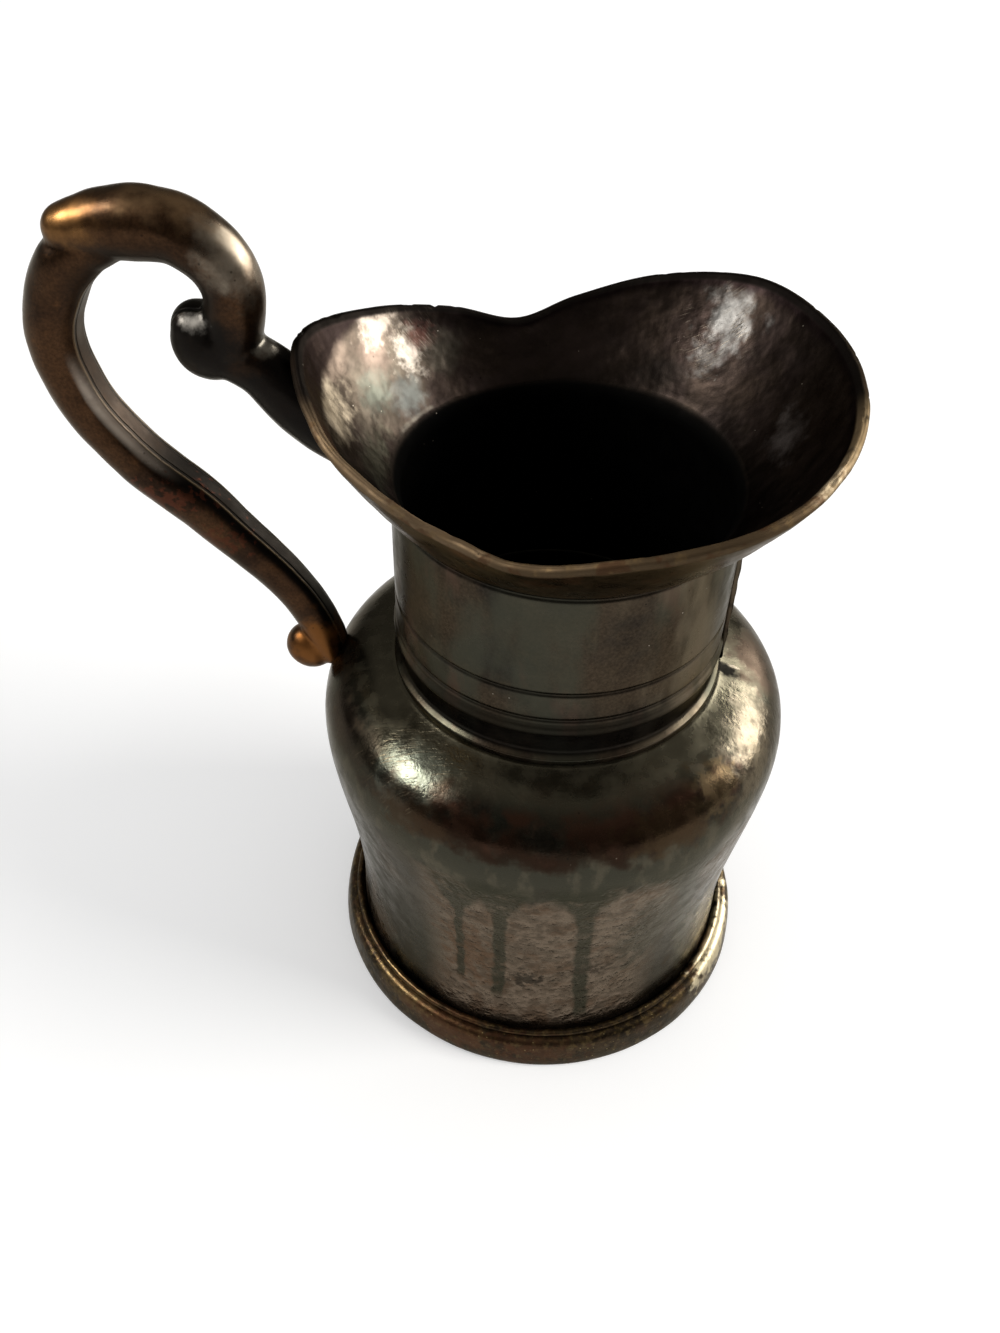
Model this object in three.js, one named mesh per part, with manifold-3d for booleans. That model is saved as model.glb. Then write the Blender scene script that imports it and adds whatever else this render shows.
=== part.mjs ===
// A small brass pitcher: spun body, foot, soldered neck with a pinched two-lobed lip, cast handle.
// Millimetres, +Z up. The body's axis is the Z axis and the underside stands at z = 0.
// The handle points to -X and the wide lobe of the lip to +X. The lip is mirrored in the XZ plane.

import * as THREE from 'three';
import { mergeVertices } from 'three/addons/utils/BufferGeometryUtils.js';
import { ParametricGeometry } from 'three/addons/geometries/ParametricGeometry.js';
import Module from 'manifold-3d';

// Sheet metal and joints
const BODY_WALL = 1.1;
const NECK_WALL = 1.1;
const BASE_THICKNESS = 1.2;
const SOLDER_GAP = 0.3;

// Body, from the table to the seat of the neck
const SHOULDER_RADIUS = 30.3;
const SHOULDER_HEIGHT = 44.1;
const WAIST_TAPER = 3.4;
const WAIST_HEIGHT = 12.1;
const BODY_FOOT_FLARE = 0.3;
const SEAT_HEIGHT = 54.2;

// How far the body's curves hold their direction at each end, as shares of the way to the other end
const WAIST_HOLD = 0.43;
const SHOULDER_LEAD = 0.2;
const SHOULDER_HOLD = 0.85;
const SEAT_HOLD = 0.2;
const SEAT_SLOPE = 0.11;

// Foot ring and the wire soldered on its inner top edge
const FOOT_WALL = 2.7;
const FOOT_HEIGHT = 5.0;
const FOOT_TOE = 0.7;
const FOOT_BATTER = 0.6;
const FOOT_ROUNDING = 2.4;
const FOOT_WIRE_RADIUS = 0.5;

// Neck: flange, cove, bead, three turned lines and the flare that starts at the uppermost line
// The flare's curve is drawn out by FLARE_SPREAD of its width and FLARE_RISE of its height
const NECK_INSET = 10.0;
const FLANGE_PROUD = 0.4;
const FLANGE_THICKNESS = 0.5;
const SEAT_MARGIN = 0.3;
const COVE_DEPTH = 0.4;
const COVE_ROUNDING = 0.6;
const BEAD_HEIGHT = 59.4;
const BEAD_WIDTH = 1.6;
const BEAD_PROUD = 0.3;
const LINE_HEIGHTS = [61.2, 65.3];
const LINE_WIDTH = 0.8;
const LINE_DEPTH = 0.25;
const FLARE_HEIGHT = 79.6;
const FLARE_SPREAD = 0.56;
const FLARE_RISE = 0.4;
const LIP_CREST = 0.4;

// Lapped seam down the neck, on the side away from the handle
const LAP_WIDTH = 3.4;
const LAP_PROUD = 0.8;
const LAP_BOTTOM = 56.4;

// Lip edge: azimuth from the +X side in degrees, overhang past the neck, height above the table
const LIP_EDGE = [
  [0, 9.8, 94.1],
  [28, 10.5, 93.8],
  [52, 11.3, 93.2],
  [75, 9.1, 90.8],
  [95, 6.8, 87.8],
  [112, 4.2, 86.5],
  [130, 5.9, 88.6],
  [152, 8.2, 91.1],
  [180, 10.2, 94.0],
];

// Handle, in the XZ plane: distance out from the shoulder's width, height, half depth, half width
const UPPER_SCROLL = [
  [23.6, 104.7, 2.5, 2.6],
  [22.3, 105.0, 2.9, 3.0],
  [20.8, 105.3, 3.2, 3.3],
  [19.2, 105.7, 3.4, 3.5],
  [17.5, 105.9, 3.6, 3.7],
  [15.7, 106.1, 3.7, 3.8],
  [13.9, 106.1, 3.6, 3.8],
  [11.5, 105.8, 3.5, 3.7],
  [9.0, 104.4, 3.4, 3.6],
  [7.0, 102.3, 3.3, 3.5],
  [6.1, 99.6, 3.2, 3.5],
  [6.4, 96.6, 3.2, 3.5],
  [7.1, 93.8, 3.2, 3.5],
];
const LOWER_STRAND = [
  [21.7, 102.9, 2.9, 3.2],
  [24.0, 101.0, 3.2, 3.4],
  [25.8, 98.2, 3.2, 3.4],
  [27.0, 95.2, 3.1, 3.4],
  [27.5, 92.6, 3.1, 3.4],
  [27.4, 90.1, 3.1, 3.4],
  [26.8, 87.3, 3.1, 3.4],
  [25.9, 84.5, 3.1, 3.4],
  [24.6, 82.0, 3.1, 3.4],
  [22.5, 79.1, 3.1, 3.4],
  [20.0, 76.1, 3.2, 3.4],
  [16.9, 73.3, 3.3, 3.3],
  [13.9, 70.6, 3.3, 3.2],
  [11.0, 67.4, 3.1, 3.0],
  [8.1, 64.4, 2.9, 2.8],
  [5.4, 61.3, 2.8, 2.6],
  [3.1, 58.1, 2.7, 2.5],
  [1.3, 54.6, 2.6, 2.6],
  [0.1, 51.3, 2.5, 2.6],
  [-0.6, 49.0, 2.2, 2.4],
];
const ROOT_BRACKET = [
  [7.9, 92.4, 3.0, 3.2],
  [4.2, 90.4, 3.3, 3.0],
  [0.6, 87.0, 3.9, 3.4],
  [-2.5, 84.7, 4.1, 3.8],
  [-5.7, 83.2, 4.2, 4.0],
  [-9.3, 82.4, 3.9, 3.8],
];

// Rounded ends of the handle: distance out, height, radius in the plane, half width across it
const VOLUTE = [9.5, 93.4, 4.5, 3.8];
const LOWER_CURL = [2.3, 49.2, 3.4, 2.9];
const ROOT_KNOB = [3.5, 92.5, 1.4, 1.4];

// Where the handle's round section is cut flat on its inner side, as a share of its radius
const INNER_FLAT = 0.88;

// Facets
const WELD_DISTANCE = 1e-4;
const SIDES = 64;
const BODY_STEPS = 10;
const FOOT_STEPS = 5;
const WIRE_SIDES = 8;
const LAP_STEPS = 4;
const LIP_COLUMNS = 80;
const FLARE_STEPS = 5;
const HANDLE_SIDES = 12;
const HANDLE_STEPS = 2;
const CAP_RINGS = 3;
const LOBE_SIDES = 16;

// Widths and heights that follow from the sizes above
const WAIST_RADIUS = SHOULDER_RADIUS - WAIST_TAPER;
const BODY_FOOT_RADIUS = WAIST_RADIUS + BODY_FOOT_FLARE;
const FOOT_BORE = BODY_FOOT_RADIUS + SOLDER_GAP;
const FOOT_RADIUS = FOOT_BORE + FOOT_WALL;
const NECK_RADIUS = SHOULDER_RADIUS - NECK_INSET;
const FLANGE_RADIUS = NECK_RADIUS + FLANGE_PROUD;
const BODY_HOLE_RADIUS = NECK_RADIUS - NECK_WALL;
const SEAT_RADIUS = FLANGE_RADIUS + SEAT_MARGIN;
const FLANGE_BOTTOM = SEAT_HEIGHT + SOLDER_GAP;

const wasm = await Module();
wasm.setup();

// A closed mesh as a solid: corners that share a place become one, and collapsed triangles go
function toSolid(geometry) {
  const bare = geometry.clone();
  bare.deleteAttribute('normal');
  bare.deleteAttribute('uv');
  const merged = mergeVertices(bare, WELD_DISTANCE);
  const kept = [];
  const corners = merged.index.array;
  for (let i = 0; i < corners.length; i += 3) {
    const [a, b, c] = [corners[i], corners[i + 1], corners[i + 2]];
    if (a !== b && b !== c && c !== a) kept.push(a, b, c);
  }
  const mesh = new wasm.Mesh({
    numProp: 3,
    vertProperties: new Float32Array(merged.attributes.position.array),
    triVerts: new Uint32Array(kept),
  });
  return new wasm.Manifold(mesh);
}

function toGeometry(solid) {
  const { vertProperties, triVerts, numProp } = solid.getMesh();
  const geometry = new THREE.BufferGeometry();
  geometry.setAttribute('position', new THREE.BufferAttribute(vertProperties, numProp));
  geometry.setIndex(new THREE.BufferAttribute(triVerts, 1));
  return geometry;
}

// An outline moved sideways: positive distances go to the left of its direction
function offsetOutline(outline, distance) {
  return outline.map((point, i) => {
    const before = outline[Math.max(i - 1, 0)];
    const after = outline[Math.min(i + 1, outline.length - 1)];
    const along = after.clone().sub(before).normalize();
    return new THREE.Vector2(point.x - along.y * distance, point.y + along.x * distance);
  });
}

// A turned solid about Z from a closed loop of [radius, height] points
function turned(loop, sides = SIDES) {
  const geometry = new THREE.LatheGeometry([...loop, loop[0]], sides);
  return geometry.rotateX(Math.PI / 2);
}

// A ring whose loop changes from column to column: loopAt gives the loop at each azimuth
function shapedRing(azimuths, loopAt) {
  const geometry = new THREE.LatheGeometry([...loopAt(0), loopAt(0)[0]], azimuths.length);
  const place = geometry.attributes.position;
  const rows = loopAt(0).length + 1;
  for (let column = 0; column <= azimuths.length; column += 1) {
    const azimuth = azimuths[column % azimuths.length];
    const loop = loopAt(column % azimuths.length);
    for (let row = 0; row < rows; row += 1) {
      const point = loop[row % loop.length];
      const index = column * rows + row;
      place.setXYZ(index, point.x * Math.cos(azimuth), point.x * Math.sin(azimuth), point.y);
    }
  }
  return geometry;
}

// The outside of the body, from the table up to the edge of its mouth
function bodyOutline() {
  const path = new THREE.Path();
  path.moveTo(BODY_FOOT_RADIUS, 0);
  path.lineTo(WAIST_RADIUS, WAIST_HEIGHT);
  const lift = SHOULDER_HEIGHT - WAIST_HEIGHT;
  path.bezierCurveTo(
    WAIST_RADIUS, WAIST_HEIGHT + WAIST_HOLD * lift,
    SHOULDER_RADIUS, SHOULDER_HEIGHT - SHOULDER_LEAD * lift,
    SHOULDER_RADIUS, SHOULDER_HEIGHT,
  );
  const crown = SEAT_HEIGHT - SHOULDER_HEIGHT;
  const shelf = SHOULDER_RADIUS - SEAT_RADIUS;
  path.bezierCurveTo(
    SHOULDER_RADIUS, SHOULDER_HEIGHT + SHOULDER_HOLD * crown,
    SEAT_RADIUS + SEAT_HOLD * shelf, SEAT_HEIGHT - SEAT_SLOPE * crown,
    SEAT_RADIUS, SEAT_HEIGHT,
  );
  path.lineTo(BODY_HOLE_RADIUS, SEAT_HEIGHT);
  return path.getPoints(BODY_STEPS);
}

function bodyShell() {
  const outside = bodyOutline();
  const inside = offsetOutline(outside, BODY_WALL);
  inside[0].set(BODY_FOOT_RADIUS - BODY_WALL, 0);
  inside.at(-1).set(BODY_HOLE_RADIUS, SEAT_HEIGHT - BODY_WALL);
  return turned([...outside, ...inside.reverse()]);
}

function basePlate() {
  const radius = BODY_FOOT_RADIUS - BODY_WALL - SOLDER_GAP;
  const plate = new THREE.CylinderGeometry(radius, radius, BASE_THICKNESS, SIDES);
  return plate.rotateX(Math.PI / 2).translate(0, 0, BASE_THICKNESS / 2);
}

function footRing() {
  const path = new THREE.Path();
  path.moveTo(FOOT_BORE, 0);
  path.lineTo(FOOT_RADIUS - FOOT_TOE, 0);
  path.quadraticCurveTo(FOOT_RADIUS, 0, FOOT_RADIUS, FOOT_TOE);
  path.lineTo(FOOT_RADIUS - FOOT_BATTER, FOOT_HEIGHT - FOOT_ROUNDING);
  path.quadraticCurveTo(FOOT_RADIUS - FOOT_BATTER, FOOT_HEIGHT, FOOT_BORE, FOOT_HEIGHT);
  return turned(path.getPoints(FOOT_STEPS));
}

function footWire() {
  const centre = FOOT_BORE + FOOT_WIRE_RADIUS;
  const height = FOOT_HEIGHT + SOLDER_GAP + FOOT_WIRE_RADIUS;
  return new THREE.TorusGeometry(centre, FOOT_WIRE_RADIUS, WIRE_SIDES, SIDES).translate(0, 0, height);
}

// The lip edge as one closed curve, mirrored in the XZ plane
function lipEdgeCurve() {
  const corner = ([degrees, overhang, height], side) => {
    const reach = NECK_RADIUS + overhang;
    const azimuth = THREE.MathUtils.degToRad(degrees) * side;
    return new THREE.Vector3(reach * Math.cos(azimuth), reach * Math.sin(azimuth), height);
  };
  const near = LIP_EDGE.map((row) => corner(row, 1));
  const far = LIP_EDGE.slice(1, -1).map((row) => corner(row, -1)).reverse();
  return new THREE.CatmullRomCurve3([...near, ...far], true, 'centripetal');
}

const lipEdge = lipEdgeCurve().getPoints(LIP_COLUMNS).slice(0, -1);
const lipAzimuths = lipEdge.map((point) => Math.atan2(point.y, point.x));

// The outside of the neck at one column, from the flange up to the lip edge
function neckOutline(column) {
  const outline = [];
  const add = (height, proud) => outline.push(new THREE.Vector2(NECK_RADIUS + proud, height));
  const flangeTop = FLANGE_BOTTOM + FLANGE_THICKNESS;
  outline.push(new THREE.Vector2(FLANGE_RADIUS, FLANGE_BOTTOM));
  outline.push(new THREE.Vector2(FLANGE_RADIUS, flangeTop));
  add(flangeTop + COVE_ROUNDING, -COVE_DEPTH);
  add(BEAD_HEIGHT - BEAD_WIDTH / 2, -COVE_DEPTH);
  add(BEAD_HEIGHT - BEAD_WIDTH / 4, BEAD_PROUD);
  add(BEAD_HEIGHT + BEAD_WIDTH / 4, BEAD_PROUD);
  add(BEAD_HEIGHT + BEAD_WIDTH / 2, 0);
  for (const height of [...LINE_HEIGHTS, FLARE_HEIGHT - LINE_WIDTH / 2]) {
    add(height - LINE_WIDTH / 2, 0);
    add(height, -LINE_DEPTH);
    add(height + LINE_WIDTH / 2, 0);
  }
  const edge = lipEdge[column];
  const reach = Math.hypot(edge.x, edge.y);
  const flare = new THREE.QuadraticBezierCurve(
    new THREE.Vector2(NECK_RADIUS, FLARE_HEIGHT),
    new THREE.Vector2(
      THREE.MathUtils.lerp(NECK_RADIUS, reach, FLARE_SPREAD),
      THREE.MathUtils.lerp(FLARE_HEIGHT, edge.z, FLARE_RISE),
    ),
    new THREE.Vector2(reach, edge.z),
  );
  return [...outline, ...flare.getPoints(FLARE_STEPS).slice(1)];
}

// The whole wall of the neck at one column: outside, rounded lip edge, then down the inside
function neckLoop(column) {
  const outside = neckOutline(column);
  const flare = outside.slice(-FLARE_STEPS - 1);
  const inside = offsetOutline(flare, NECK_WALL);
  const tip = outside.at(-1);
  const innerTip = inside.at(-1);
  const along = tip.clone().sub(outside.at(-2)).normalize();
  const crest = tip.clone().add(innerTip).multiplyScalar(0.5).addScaledVector(along, LIP_CREST);
  inside[0].set(BODY_HOLE_RADIUS, FLARE_HEIGHT);
  return [
    ...outside,
    crest,
    ...inside.reverse(),
    new THREE.Vector2(BODY_HOLE_RADIUS, FLANGE_BOTTOM),
  ];
}

// The lap of the seam: a strip bent round the neck, up to the flare
function seamLap() {
  const inner = NECK_RADIUS - NECK_WALL / 2;
  const outer = NECK_RADIUS + LAP_PROUD;
  const halfAngle = LAP_WIDTH / 2 / NECK_RADIUS;
  const strip = new THREE.Shape();
  strip.absarc(0, 0, outer, -halfAngle, halfAngle, false);
  strip.absarc(0, 0, inner, halfAngle, -halfAngle, true);
  const depth = FLARE_HEIGHT - LAP_BOTTOM;
  const lap = new THREE.ExtrudeGeometry(strip, { depth, bevelEnabled: false, curveSegments: LAP_STEPS });
  return lap.translate(0, 0, LAP_BOTTOM);
}

function neckAndLip() {
  const wall = toSolid(shapedRing(lipAzimuths, neckLoop));
  return toGeometry(wall.add(toSolid(seamLap())));
}

// A filled solid round the axis, one solder gap larger than an outline: nothing else may reach into it
function keepOut(azimuths, outlineAt) {
  const loopAt = (column) => {
    const grown = offsetOutline(outlineAt(column), -SOLDER_GAP);
    const low = new THREE.Vector2(0, grown[0].y);
    const high = new THREE.Vector2(0, grown.at(-1).y);
    return [...grown, high, low];
  };
  return toSolid(shapedRing(azimuths, loopAt));
}

// A place in the handle's plane, from its distance out from the shoulder's width and its height
function handlePoint(out, height) {
  return new THREE.Vector3(-SHOULDER_RADIUS - out, 0, height);
}

// A limb of the handle: a D-section swept along its stations, with rounded ends
// Its round face lies on the left of the path where roundSide is 1, and on the right where it is -1
function limb(stations, roundSide) {
  const centres = stations.map(([out, height]) => handlePoint(out, height));
  const sizes = stations.map(([, , depth, width]) => new THREE.Vector3(depth, width, 0));
  const path = new THREE.CatmullRomCurve3(centres, false, 'centripetal');
  const girth = new THREE.CatmullRomCurve3(sizes, false, 'centripetal');
  const spans = (stations.length - 1) * HANDLE_STEPS;
  const rings = [];
  const ring = (share, shift, scale) => rings.push({ share, shift, scale });
  for (let i = 0; i < CAP_RINGS; i += 1) {
    const angle = (i / CAP_RINGS) * (Math.PI / 2);
    ring(0, -Math.cos(angle), Math.sin(angle));
  }
  for (let i = 0; i <= spans; i += 1) ring(i / spans, 0, 1);
  for (let i = CAP_RINGS - 1; i >= 0; i -= 1) {
    const angle = (i / CAP_RINGS) * (Math.PI / 2);
    ring(1, Math.cos(angle), Math.sin(angle));
  }
  const skin = (u, v, target) => {
    const { share, shift, scale } = rings[Math.round(v * (rings.length - 1))];
    const centre = path.getPoint(share);
    const along = path.getTangent(share);
    const { x: depth, y: width } = girth.getPoint(share);
    const outward = new THREE.Vector3(-along.z, 0, along.x).multiplyScalar(roundSide);
    const angle = -2 * Math.PI * u * roundSide;
    const cut = Math.max(Math.cos(angle), -INNER_FLAT);
    const side = (2 * cut - 1 + INNER_FLAT) / (1 + INNER_FLAT);
    target.copy(centre).addScaledVector(along, shift * depth);
    target.addScaledVector(outward, side * depth * scale);
    target.y += Math.sin(angle) * width * scale;
  };
  return toSolid(new ParametricGeometry(skin, HANDLE_SIDES, rings.length - 1));
}

// A rounded end of the handle: a ball flattened across the XZ plane
function lobe([out, height, radius, halfWidth]) {
  const ball = new THREE.SphereGeometry(radius, LOBE_SIDES, LOBE_SIDES / 2);
  ball.rotateX(Math.PI / 2).scale(1, halfWidth / radius, 1);
  const { x, z } = handlePoint(out, height);
  return toSolid(ball.translate(x, 0, z));
}

function handle() {
  const bodyKeepOut = toSolid(turned([
    new THREE.Vector2(0, 0),
    ...offsetOutline(bodyOutline(), -SOLDER_GAP),
    new THREE.Vector2(0, SEAT_HEIGHT + SOLDER_GAP),
  ]));
  const casting = limb(UPPER_SCROLL, 1)
    .add(limb(LOWER_STRAND, -1))
    .add(limb(ROOT_BRACKET, -1))
    .add(lobe(VOLUTE))
    .add(lobe(LOWER_CURL))
    .add(lobe(ROOT_KNOB))
    .subtract(bodyKeepOut)
    .subtract(keepOut(lipAzimuths, neckOutline));
  return toGeometry(casting);
}

const DARK_BRASS = { color: 0x4a4338, metalness: 0.85, roughness: 0.38 };
const NECK_BRONZE = { color: 0x443f38, metalness: 0.85, roughness: 0.36 };
const WORN_COPPER = { color: 0x6b4a2e, metalness: 0.9, roughness: 0.34 };
const HANDLE_BROWN = { color: 0x4d3620, metalness: 0.85, roughness: 0.32 };

const pitcher = new THREE.Group();
pitcher.name = 'pitcher';

function addPiece(name, geometry, finish) {
  const mesh = new THREE.Mesh(geometry, new THREE.MeshStandardMaterial(finish));
  mesh.name = name;
  pitcher.add(mesh);
}

addPiece('body_shell', bodyShell(), DARK_BRASS);
addPiece('base_plate', basePlate(), DARK_BRASS);
addPiece('foot_ring', footRing(), WORN_COPPER);
addPiece('foot_wire', footWire(), WORN_COPPER);
addPiece('neck_and_lip', neckAndLip(), NECK_BRONZE);
addPiece('handle', handle(), HANDLE_BROWN);

export default pitcher;
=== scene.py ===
"""A small patinated brass pitcher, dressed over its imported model.

The pitcher is a spun body on a foot ring, a soldered neck with a pinched lip and a cast scroll
handle. Lengths are millimetres until a mesh is finished, when it is brought to metres.
"""

import logging
import math
import sys
from collections.abc import Callable, Iterable, Mapping, Sequence
from dataclasses import dataclass, field
from enum import Enum
from typing import Any

import bmesh
import bpy
import numpy as np
from mathutils import Matrix, Vector, noise

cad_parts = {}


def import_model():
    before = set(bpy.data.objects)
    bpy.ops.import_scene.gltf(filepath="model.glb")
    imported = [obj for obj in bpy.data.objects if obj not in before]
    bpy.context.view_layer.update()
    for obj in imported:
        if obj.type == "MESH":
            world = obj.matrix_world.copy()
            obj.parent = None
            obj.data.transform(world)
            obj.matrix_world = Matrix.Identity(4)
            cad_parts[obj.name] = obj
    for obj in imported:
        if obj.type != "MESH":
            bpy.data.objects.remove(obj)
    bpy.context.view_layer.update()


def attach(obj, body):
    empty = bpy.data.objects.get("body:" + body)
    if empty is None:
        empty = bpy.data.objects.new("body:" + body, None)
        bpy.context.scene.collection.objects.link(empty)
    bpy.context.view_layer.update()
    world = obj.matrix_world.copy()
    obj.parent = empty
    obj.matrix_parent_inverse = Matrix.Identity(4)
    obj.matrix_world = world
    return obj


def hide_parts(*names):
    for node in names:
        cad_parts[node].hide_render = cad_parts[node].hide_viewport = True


log = logging.getLogger("pitcher")

MM = 0.001
TOUCHING = 1e-5
ON_AXIS = 1e-3
BODY = "root"

Point = tuple[float, float]
Tone = tuple[float, float, float]
Station = tuple[float, float, float, float]


class Side(Enum):
    """The side of its path on which a handle limb is round."""

    LEFT = 1
    RIGHT = -1


def tone(code: str) -> Tone:
    """The linear colour of a six-digit screen colour code.

    Args:
        code: Red, green and blue as three pairs of hexadecimal digits.

    Returns:
        The three linear values.
    """
    screen = [int(code[i : i + 2], 16) / 255 for i in (0, 2, 4)]
    linear = [v / 12.92 if v <= 0.04045 else ((v + 0.055) / 1.055) ** 2.4 for v in screen]
    return (linear[0], linear[1], linear[2])


def lerp(start: float, stop: float, share: float) -> float:
    """The value at a share of the way from start to stop."""
    return start + (stop - start) * share


def bezier(ends: Sequence[Point], steps: int) -> list[Point]:
    """Points along a Bezier curve of any degree, both ends included.

    Args:
        ends: The curve's end and control points.
        steps: How many spans to cut it into.

    Returns:
        The points in order.
    """
    made = []
    for i in range(steps + 1):
        row = [Vector(p) for p in ends]
        while len(row) > 1:
            row = [a.lerp(b, i / steps) for a, b in zip(row, row[1:])]
        made.append((row[0].x, row[0].y))
    return made


def through(points: Sequence[Vector], closed: bool, share: float) -> Vector:
    """A place on the centripetal curve that passes through some points.

    Args:
        points: The points that the curve passes through.
        closed: Whether the curve returns to its first point.
        share: How far along, from 0 to 1.

    Returns:
        The place.
    """
    count = len(points)
    spans = count if closed else count - 1
    spot = min(max(share, 0.0), 1.0) * spans
    index = min(int(spot), spans - 1)
    part = spot - index
    if closed:
        quad = [points[(index + k) % count] for k in (-1, 0, 1, 2)]
    else:
        before = points[index - 1] if index else points[0] * 2 - points[1]
        after = points[index + 2] if index + 2 < count else points[-1] * 2 - points[-2]
        quad = [before, points[index], points[index + 1], after]
    gaps = [max((b - a).length ** 0.5, 1e-4) for a, b in zip(quad, quad[1:])]
    slopes = []
    for k in (0, 1):
        a, b, c = quad[k : k + 3]
        near, far = gaps[k], gaps[k + 1]
        slope = (b - a) / near - (c - a) / (near + far) + (c - b) / far
        slopes.append(slope * gaps[1])
    start, stop = quad[1], quad[2]
    square, cube = part * part, part**3
    return (
        start * (2 * cube - 3 * square + 1)
        + slopes[0] * (cube - 2 * square + part)
        + stop * (3 * square - 2 * cube)
        + slopes[1] * (cube - square)
    )


@dataclass
class Outline:
    """A cross-section drawn corner by corner: radius, height and rounding of each."""

    corners: list[tuple[float, float, float]] = field(default_factory=list)

    def to(self, radius: float, height: float, rounding: float = 0.0) -> "Outline":
        """Adds a corner and returns the outline."""
        self.corners.append((radius, height, rounding))
        return self

    def follow(self, points: Iterable[Point]) -> "Outline":
        """Adds the points of a curve and returns the outline."""
        self.corners.extend((radius, height, 0.0) for radius, height in points)
        return self

    def points(self, spacing: float) -> list[Point]:
        """The closed outline with its corners rounded and its long sides divided.

        Args:
            spacing: The longest side left undivided.

        Returns:
            The points round the loop.
        """
        count = len(self.corners)
        rounded: list[Point] = []
        for i, (radius, height, rounding) in enumerate(self.corners):
            here = Vector((radius, height))
            if not rounding:
                rounded.append((radius, height))
                continue
            ends = []
            for k in (i - 1, (i + 1) % count):
                away = Vector(self.corners[k][:2]) - here
                reach = min(rounding, away.length * 0.49)
                ends.append(here + away.normalized() * reach)
            rounded.extend(bezier([tuple(ends[0]), tuple(here), tuple(ends[1])], 4))
        made: list[Point] = []
        for a, b in zip(rounded, rounded[1:] + rounded[:1]):
            gap = math.dist(a, b)
            if gap < 1e-6:
                continue
            parts = max(1, math.ceil(gap / spacing))
            made.extend((lerp(a[0], b[0], k / parts), lerp(a[1], b[1], k / parts)) for k in range(parts))
        return made


def beside(points: Sequence[Point], distance: float) -> list[Point]:
    """A line of points moved sideways, to the left of its direction.

    Args:
        points: The line.
        distance: How far it moves.

    Returns:
        The moved line.
    """
    made = []
    for i, (radius, height) in enumerate(points):
        before, after = points[max(i - 1, 0)], points[min(i + 1, len(points) - 1)]
        along = Vector((after[0] - before[0], after[1] - before[1])).normalized()
        made.append((radius - along.y * distance, height + along.x * distance))
    return made


def spun(points: Sequence[Point], columns: int, angle: float = math.tau) -> bmesh.types.BMesh:
    """A closed section turned about the vertical axis.

    Args:
        points: The section's loop, as radius and height.
        columns: How many steps the turn takes.
        angle: How far it turns; a part turn gets its two ends closed.

    Returns:
        The solid, in millimetres.
    """
    mesh = bmesh.new()
    loop = [mesh.verts.new((radius, 0.0, height)) for radius, height in points]
    for a, b in zip(loop, loop[1:] + loop[:1]):
        mesh.edges.new((a, b))
    full = angle == math.tau
    if not full:
        bmesh.ops.rotate(mesh, verts=mesh.verts, matrix=Matrix.Rotation(-angle / 2, 3, "Z"))
    bmesh.ops.spin(
        mesh,
        geom=mesh.verts[:] + mesh.edges[:],
        cent=(0, 0, 0),
        axis=(0, 0, 1),
        dvec=(0, 0, 0),
        angle=angle,
        steps=columns,
        use_merge=full,
    )
    if not full:
        bmesh.ops.holes_fill(mesh, edges=[e for e in mesh.edges if e.is_boundary], sides=0)
    bmesh.ops.remove_doubles(mesh, verts=mesh.verts, dist=TOUCHING)
    bmesh.ops.recalc_face_normals(mesh, faces=mesh.faces)
    return mesh


def wander(place: Vector, size: float, seed: float) -> float:
    """Slow unevenness from 0 to 1 at a place, with bumps of about the given size."""
    spot = place / size + Vector((seed, seed * 1.7, seed * 2.3))
    return min(max(0.5 + 0.5 * noise.noise(spot), 0.0), 1.0)


@dataclass(frozen=True)
class HandWork:
    """The unevenness that hand work leaves in a turned surface.

    Args:
        depth: How far the surface is pressed in at most, in millimetres.
        size: The size of the hollows in millimetres.
        seed: A number for another set of hollows.
    """

    depth: float
    size: float
    seed: float

    def at(self, place: Vector) -> float:
        """How deep the surface is pressed in at a place."""
        return self.depth * wander(place, self.size, self.seed)

    def sway(self, place: Vector) -> float:
        """How far the surface lies to either side of its mean at a place."""
        return self.at(place) - self.depth / 2

    def press(self, mesh: bmesh.types.BMesh) -> None:
        """Presses a surface unevenly towards the axis.

        Args:
            mesh: The surface, in millimetres.
        """
        for vert in mesh.verts:
            flat = Vector((vert.co.x, vert.co.y, 0.0))
            if flat.length > ON_AXIS:
                vert.co -= flat.normalized() * self.at(vert.co)


def mesh_data(name: str, mesh: bmesh.types.BMesh) -> bpy.types.Mesh:
    """The mesh made from a solid, which is freed.

    Args:
        name: The mesh's name.
        mesh: The solid.

    Returns:
        The mesh.
    """
    data = bpy.data.meshes.new(name)
    mesh.to_mesh(data)
    mesh.free()
    return data


def linked(name: str, data: bpy.types.ID) -> bpy.types.Object:
    """A new object in the scene that shows the data.

    Args:
        name: The object's name.
        data: Its mesh, lamp or camera.

    Returns:
        The object.
    """
    item = bpy.data.objects.new(name, data)
    bpy.context.scene.collection.objects.link(item)
    return item


def add_piece(
    name: str,
    mesh: bmesh.types.BMesh,
    finish: bpy.types.Material,
    node: str,
) -> bpy.types.Object:
    """Turns a finished solid into a piece of the pitcher.

    Args:
        name: The piece's name.
        mesh: The solid in millimetres; it is freed.
        finish: The material.
        node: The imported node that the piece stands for.

    Returns:
        The piece, placed in its mesh, in metres.
    """
    bmesh.ops.scale(mesh, vec=(MM, MM, MM), verts=mesh.verts)
    for face in mesh.faces:
        face.smooth = True
    data = mesh_data(name, mesh)
    data.materials.append(finish)
    piece = linked(name, data)
    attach(piece, BODY)
    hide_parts(node)
    log.info("%s: %d faces for %s", name, len(data.polygons), node)
    return piece


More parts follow.
